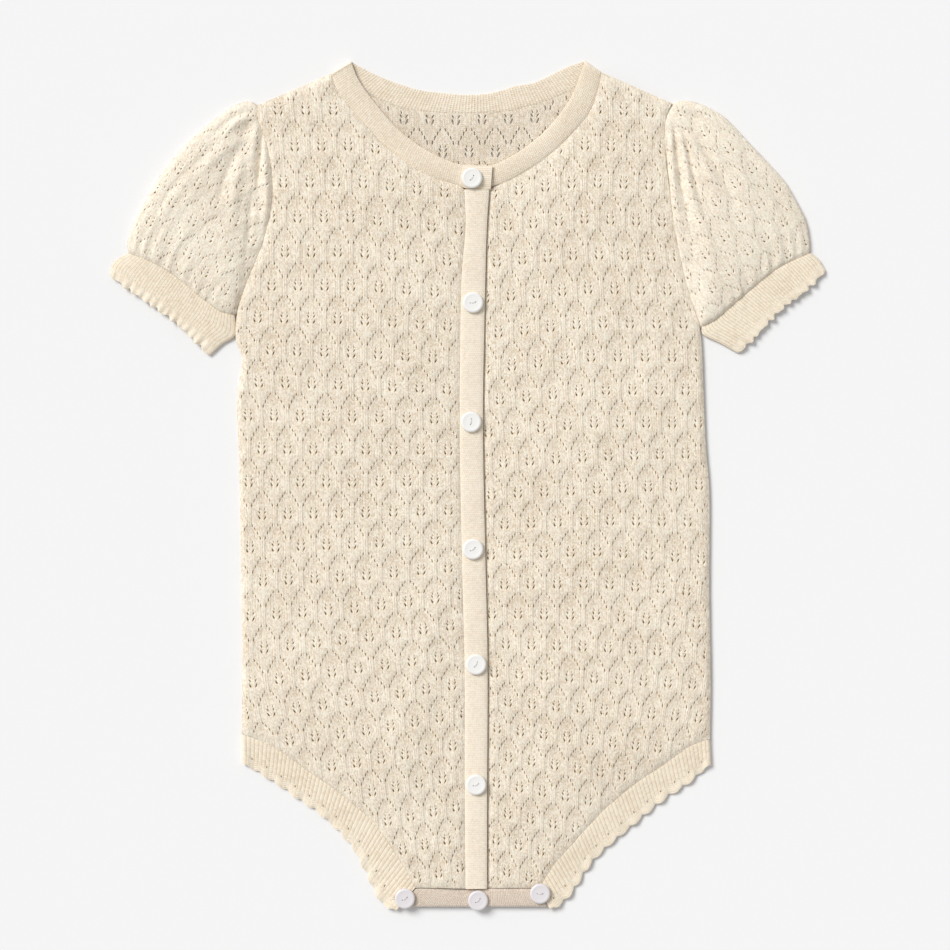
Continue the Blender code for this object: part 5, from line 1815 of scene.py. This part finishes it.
@dataclass
class Neckband:
    """The ribbed band round the neck, folded at both shoulders.

    Its right end climbs onto the placket from climb_x on, and its left end has sunk to the
    under placket at sink_x. All lengths are in millimetres.
    """

    material: bpy.types.Material
    front_ribs: int = 90
    back_ribs: int = 88
    tab_ribs: int = 14
    stations_per_rib: int = 3
    turn_steps: int = 6
    crown: float = 0.6
    width: float = 10.3
    climb_x: float = -40.0
    climb_run: float = 28.0
    sink_x: float = 13.5
    sink_run: float = 6.0
    back_lift: float = 0.15

    def build(self) -> None:
        """Makes the band as one strip from the placket round the back to the placket."""
        radius, half, steps = NECK_TOP / 2, RIB_THICKNESS / 2, self.turn_steps
        front, around = (
            np.linspace(0.0, 1.0, ribs * self.stations_per_rib + 1)
            for ribs in (self.front_ribs, self.back_ribs)
        )
        right, back, left = (
            np.array([resampled(line(bands), *cuts, t) for line in (free_path, seam_path)])
            for bands, t, cuts in (
                (NECK_RIGHT, front, (0.0, radius)), (NECK_BACK, around, (radius, radius)),
                (NECK_LEFT, front, (radius, 0.0)),
            )
        )
        climbed = ease((right[0, :, 0] - self.climb_x) / self.climb_run)
        over = NECK_LOW + (OVER_LOW - NECK_LOW) * climbed
        afloat = ease((left[0, :, 0] - self.sink_x) / self.sink_run)
        under = FRONT_LOW + (NECK_LOW - FRONT_LOW) * afloat
        right_turn, left_turn = (
            turn_rows(start, end, np.array([sign, 0.5]), radius - half, sign < 0, steps)
            for start, end, sign in (
                (right[:, -1], back[:, 0], -1.0), (back[:, -1], left[:, 0], 1.0),
            )
        )
        free, seam = (
            np.vstack([
                raised(right[k], over + half), right_turn[k],
                raised(back[k], half + self.back_lift),
                left_turn[k], raised(left[k], under + half),
            ])
            for k in (0, 1)
        )
        up, down = np.tile(UP, (len(front), 1)), np.tile(-UP, (len(around), 1))
        normal = np.vstack([up, right_turn[2], down, left_turn[2], up])
        plain = np.zeros(steps - 1)
        tab = np.maximum(front * self.front_ribs - self.tab_ribs, 0.0)
        phase = np.concatenate(
            [tab, plain, around * self.back_ribs, plain, front * self.front_ribs]
        )
        rows = np.concatenate([[0.0, 0.05], np.linspace(0.14, 0.86, 6), [0.95, 1.0]])
        strip = RibStrip(ruled(free, seam, rows), normal, phase, rows, rise=0.3)
        facing_up = normal[:, 2].clip(0, 1)

        def push(station: Array, share: Array) -> Array:
            """Rounds the band where it faces up, most of all along its middle."""
            rounded = self.crown * (1 - np.abs(2 * share - 1) ** 2.2) + 0.3 - 0.3 * share
            return (rounded * facing_up[station])[..., None] * UP

        piece = strip.cloth(push).piece("neckband_rib", "neckband", "rib_knit", self.material)


@dataclass
class Tapes:
    """The plackets down the front and the bands across the crotch."""

    material: bpy.types.Material
    crotch_shade_material: bpy.types.Material
    line_pitch: float = 1.1
    crotch_pitch: float = 0.95
    least_width: float = 10.0

    def build(self) -> None:
        """Makes the four strips."""
        self._placket("placket_over", 0.0, 0.0, OVER_LOW, 2)
        self._placket("placket_under", 1.0, -2 * SEAM_GAP, FRONT_LOW, 1)
        for word, low in (("front", FRONT_LOW + 0.1), ("back", 0.0)):
            self._crotch(f"crotch_band_{word}", low)

    def _strip(self, name: str, left: Array, right: Array, z: float, phase: Array,
               material: bpy.types.Material) -> None:
        """Makes a strip of fine ribs.

        Args:
            name: The name of the node that it stands for.
            left: The points of the edge where each rib starts, in plan.
            right: Those of the edge where it ends.
            z: The height of its middle.
            phase: How many ribs lie before each point.
            material: Its material.
        """
        rows = np.array([0.0, 0.06, 0.18, 0.34, 0.5, 0.66, 0.82, 0.94, 1.0])
        base = ruled(raised(left, z), raised(right, z), rows)
        strip = RibStrip(base, np.tile(UP, (len(left), 1)), phase, rows, 0.3, 1.0)

        def push(_: Array, share: Array) -> Array:
            """Rounds the strip across."""
            return (0.4 * (1 - np.abs(2 * share - 1) ** 3) + 0.25 - 0.45 * share)[..., None] * UP

        piece = strip.cloth(push).piece(f"{name}_knit", name, "tape_knit", material)

    def _placket(self, name: str, left_in: float, right_in: float, low: float,
                 per_line: int) -> None:
        """Makes a placket from the shared table.

        Args:
            name: The name of the node that it stands for.
            left_in: How far its left edge lies in from the table's.
            right_in: How far its right edge lies out from the table's.
            low: The height of its underside.
            per_line: How finely its ribs are shaped, 1 or 2.
        """
        left = Path([Point(row.left + left_in, row.y) for row in PLACKET])
        right = Path([Point(row.right + right_in, row.y) for row in PLACKET])
        lines = int(left.length / self.line_pitch)
        t = np.linspace(0.0, 1.0, 2 * lines + 1 if per_line == 2 else lines // 2)
        edges = (path.at(t)[::-1] for path in (left, right))
        self._strip(name, *edges, low + WALL / 2, t * lines, self.material)

    def _crotch(self, name: str, low: float) -> None:
        """Makes a band across the crotch."""
        free, seam = (Path([band[k : k + 2] for band in CROTCH_ENDS], 4) for k in (0, 2))
        lines = int(free.length / self.crotch_pitch)
        t = np.linspace(0.0, 1.0, 3 * lines + 1)
        edges = (path.at(t)[::-1] for path in (free, seam))
        self._strip(name, *edges, low + WALL / 2, t * lines, self.crotch_shade_material)


@dataclass
class Buttons:
    """A row of round buttons with a rim, a flat face and two holes, sewn on with thread."""

    word: str
    spots: Sequence[Spot]
    radius: float
    materials: list[bpy.types.Material]
    segments: int = 48
    hole_radius: float = 0.27
    hole_flare: float = 0.14
    hole_depth: float = 1.5
    hole_segments: int = 14
    hole_spacing: float = 2.7
    sharp_angle: float = 50.0
    thread_radius: float = 0.13
    thread_sides: int = 8
    strand_places: tuple[float, ...] = (-0.24, -0.08, 0.08, 0.24)

    def build(self) -> None:
        """Makes every button of the row."""
        for number, spot in enumerate(self.spots, start=1):
            self._button(f"{self.word}_button_{number}", spot)

    @staticmethod
    def _rings(mesh: bmesh.types.BMesh, levels: Sequence, count: int, x: float = 0.0) -> list:
        """Adds a level circle of points round x for each radius and height."""
        turns = [2 * math.pi * k / count for k in range(count)]
        spokes = [(math.cos(a), math.sin(a)) for a in turns]
        return [
            [mesh.verts.new(((x + r * c) * MM, r * s * MM, z * MM)) for c, s in spokes]
            for r, z in levels
        ]

    @staticmethod
    def _bridge(mesh: bmesh.types.BMesh, rings: list) -> list[bmesh.types.BMFace]:
        """Joins each ring of points to the next with faces."""
        return [
            mesh.faces.new((low[k - 1], low[k], high[k], high[k - 1]))
            for low, high in zip(rings[:-1], rings[1:])
            for k in range(len(low))
        ]

    def _button(self, name: str, spot: Spot) -> None:
        """Makes one button at its spot."""
        mesh = bmesh.new()
        top = BUTTON_PROFILE[-1][1]
        profile = [(self.radius - inset, z) for inset, z in BUTTON_PROFILE]
        rings = self._rings(mesh, profile, self.segments)
        self._bridge(mesh, rings)
        hole, rim = self.hole_radius, self.hole_radius + self.hole_flare
        loops = [rings]
        for side in (-1, 1):
            levels = ((hole, 0.0), (hole, self.hole_depth), (rim, top))
            x = side * self.hole_spacing / 2
            loops.append(self._rings(mesh, levels, self.hole_segments, x))
            self._bridge(mesh, loops[-1][::-1])
        for level in (0, -1):
            edges = [
                mesh.edges.get(ends)
                for loop in loops
                for ends in zip(loop[level], loop[level][1:] + loop[level][:1])
            ]
            bmesh.ops.triangle_fill(mesh, edges=edges, use_beauty=True)
        bmesh.ops.recalc_face_normals(mesh, faces=mesh.faces[:])
        self._thread(mesh, top)
        data = bpy.data.meshes.new(name)
        mesh.to_mesh(data)
        mesh.free()
        data.shade_smooth()
        data.set_sharp_from_angle(angle=math.radians(self.sharp_angle))
        for material in self.materials:
            data.materials.append(material)
        place = Vector((spot.x, spot.y, spot.low + LAYER_GAP)) * MM
        turn = Matrix.Rotation(math.radians(spot.turn), 4, "Z")
        data.transform(Matrix.Translation(place) @ turn)
        add_piece(f"{name}_resin", data, [name])

    def _thread(self, mesh: bmesh.types.BMesh, level: float) -> None:
        """Adds strands of thread from one hole to the other, over a face at this level."""
        side = np.array([0.0, 1.0, 0.0])
        turns = [2 * math.pi * k / self.thread_sides for k in range(self.thread_sides)]
        t = np.linspace(0.0, 1.0, 13)
        for number, place in enumerate(self.strand_places):
            x = (t - 0.5) * self.hole_spacing * 1.04
            y = place * (0.6 + 0.4 * np.sin(math.pi * t))
            z = level + 0.12 - self.hole_depth * np.abs(2 * t - 1) ** 6 + 0.04 * (number % 2)
            path = np.stack([x, y, z], axis=1)
            ahead = unit(np.vstack([path[1:], path[-1:]]) - np.vstack([path[:1], path[:-1]]))
            rings = []
            for centre, up in zip(path, np.cross(ahead, side)):
                spokes = [math.cos(a) * side + math.sin(a) * up for a in turns]
                places = [(centre + self.thread_radius * spoke) * MM for spoke in spokes]
                rings.append([mesh.verts.new(place) for place in places])
            caps = [mesh.faces.new(ring) for ring in (rings[0][::-1], rings[-1])]
            for face in self._bridge(mesh, rings) + caps:
                face.material_index = 1


@dataclass(frozen=True)
class Studio:
    """A pale floor, soft light from the upper left and a camera straight above."""

    view_width: float = 0.475
    view_x: float = 0.00375
    view_y: float = 0.0055
    view_z: float = 0.0025
    lens: float = 100.0
    sensor: float = 36.0
    sky: float = 0.47
    key_strength: float = 2.6
    key_softness: float = 28.0
    key_direction: tuple[float, float, float] = (-0.62, 0.55, 0.80)
    floor_reach: float = 4.0
    floor_level: float = -0.0001
    floor_dark: float = 0.872
    floor_light: float = 0.882

    def build(self) -> None:
        """Makes the camera, the lights and the floor."""
        scene = bpy.context.scene
        camera = bpy.data.objects.new("camera", bpy.data.cameras.new("camera"))
        camera.data.lens = self.lens
        camera.data.sensor_width = self.sensor
        camera.data.clip_start = 0.05
        camera.data.clip_end = 20.0
        distance = self.view_width * self.lens / self.sensor
        camera.location = (self.view_x, self.view_y, self.view_z + distance)
        scene.collection.objects.link(camera)
        scene.camera = camera
        scene.view_settings.view_transform = "Standard"
        world = bpy.data.worlds.new("studio")
        world.use_nodes = True
        background = world.node_tree.nodes["Background"]
        background.inputs["Color"].default_value = (1.0, 1.0, 1.0, 1.0)
        background.inputs["Strength"].default_value = self.sky
        scene.world = world
        light = bpy.data.lights.new("key", "SUN")
        light.energy = self.key_strength
        light.angle = math.radians(self.key_softness)
        key = bpy.data.objects.new("key", light)
        key.location = self.key_direction
        key.rotation_euler = Vector(self.key_direction).to_track_quat("Z", "Y").to_euler()
        scene.collection.objects.link(key)
        self._floor(scene)

    def _floor(self, scene: bpy.types.Scene) -> None:
        """Makes the floor."""
        mesh = bpy.data.meshes.new("floor")
        turns = ((-1, -1), (1, -1), (1, 1), (-1, 1))
        corners = [(x * self.floor_reach, y * self.floor_reach, self.floor_level) for x, y in turns]
        mesh.from_pydata(corners, [], [(0, 1, 2, 3)])
        paper, graph, shader = new_material("floor_paper")
        place = graph.add("TexCoord").outputs["Object"]
        grain = graph.add("TexNoise", {"Vector": place, "Scale": 600.0}).outputs[0]
        colour = graph.mix(grain, (self.floor_dark,) * 3, (self.floor_light,) * 3)
        graph.fill(shader, {"Base Color": colour, "Roughness": 1.0, "Specular IOR Level": 0.0})
        mesh.materials.append(paper)
        floor = bpy.data.objects.new("floor", mesh)
        scene.collection.objects.link(floor)


# The dark colour that painted shade and random yarn tone mix towards
SHADE_AND_TONE = (0.62, 0.485, 0.335)
BODY_KNIT = KnitFinish("body_knit", (1.0, 0.91, 0.765), SHADE_AND_TONE, base_share=0.09, lace_shade_and_highlight=0.15)
# Painted shade: the inside, lying under the fronts, is a darker copy of the knit
INSIDE_SHADE_KNIT = KnitFinish("inside_painted_shade", (0.94, 0.845, 0.705), (0.58, 0.46, 0.32))
# Painted shade: the eyelets' rim walls are a darker, warmer tan than the knit
EYELET_RIM_SHADE = KnitFinish("eyelet_rim_painted_shade", (0.93, 0.80, 0.60), (0.66, 0.52, 0.36))
SLEEVE_KNIT = KnitFinish(
    "sleeve_knit", (1.0, 0.915, 0.775), (0.66, 0.53, 0.38), loop_depth=0.00016,
    strand_share=0.5, base_share=0.04,
)
RIB_KNIT = KnitFinish(
    "rib_knit", (0.925, 0.826, 0.67), SHADE_AND_TONE, lean=1.2, loop_depth=0.00013, gap_shade_share=0.08,
    strand_share=0.3, fleck=0.8, base_share=0.08, groove_shade=0.62, rib_start=4.3,
)
NECK_KNIT = replace(RIB_KNIT, name="neck_knit", colour=(0.905, 0.808, 0.662), rib_start=-9.0)
TAPE_KNIT = KnitFinish(
    "tape_knit", (0.955, 0.855, 0.712), (0.68, 0.55, 0.40), loop_depth=0.0001, gap_shade_share=0.08,
    strand_share=0.35, fleck=0.8, base_share=0.02, groove_shade=0.36,
)
# Painted shade: the crotch bands are a darker copy of the knit
CROTCH_SHADE_KNIT = KnitFinish(
    "crotch_painted_shade_knit", (0.835, 0.725, 0.62), (0.55, 0.44, 0.33), gap_shade_share=0.1,
    strand_share=0.3, groove_shade=0.8,
)
FRONT_RESIN = ButtonFinish(
    "placket_button", (0.865, 0.85, 0.825), (0.90, 0.885, 0.86), (0.93, 0.92, 0.88)
)
# Painted shade: the crotch buttons and their thread are greyer than the placket's
CROTCH_SHADE_RESIN = ButtonFinish(
    "crotch_button", (0.74, 0.705, 0.715), (0.79, 0.75, 0.76), (0.86, 0.82, 0.82)
)


def main() -> None:
    """Builds the studio and every piece of the romper."""
    logging.basicConfig(level=logging.INFO, format="%(name)s %(message)s")
    Studio().build()
    groups = {
        "knit_loops": loops_group(),
        "yarn_tone": tone_group(),
        "leaf_shade_lines": leaf_group(LeafLace()),
        "rib_shade_lines": rib_group(),
    }
    romper = Romper()
    rib = RIB_KNIT.material(groups)
    inside = INSIDE_SHADE_KNIT.material(groups)
    rims = EYELET_RIM_SHADE.material(groups)
    body = BODY_KNIT.material(groups)
    Body(romper, (body, inside, rims)).build()
    sleeve = SLEEVE_KNIT.material(groups)
    for side in Side:
        Sleeve(side, romper, (sleeve, inside, rims), rib).build()
        LegBand(side, rib).build()
    Neckband(NECK_KNIT.material(groups)).build()
    Tapes(TAPE_KNIT.material(groups), CROTCH_SHADE_KNIT.material(groups)).build()
    Buttons("placket", FRONT_BUTTONS, FRONT_BUTTON_RADIUS, FRONT_RESIN.materials(groups)).build()
    Buttons("crotch", CROTCH_BUTTONS, CROTCH_BUTTON_RADIUS, CROTCH_SHADE_RESIN.materials(groups)).build()


if __name__ == "__main__":
    main()
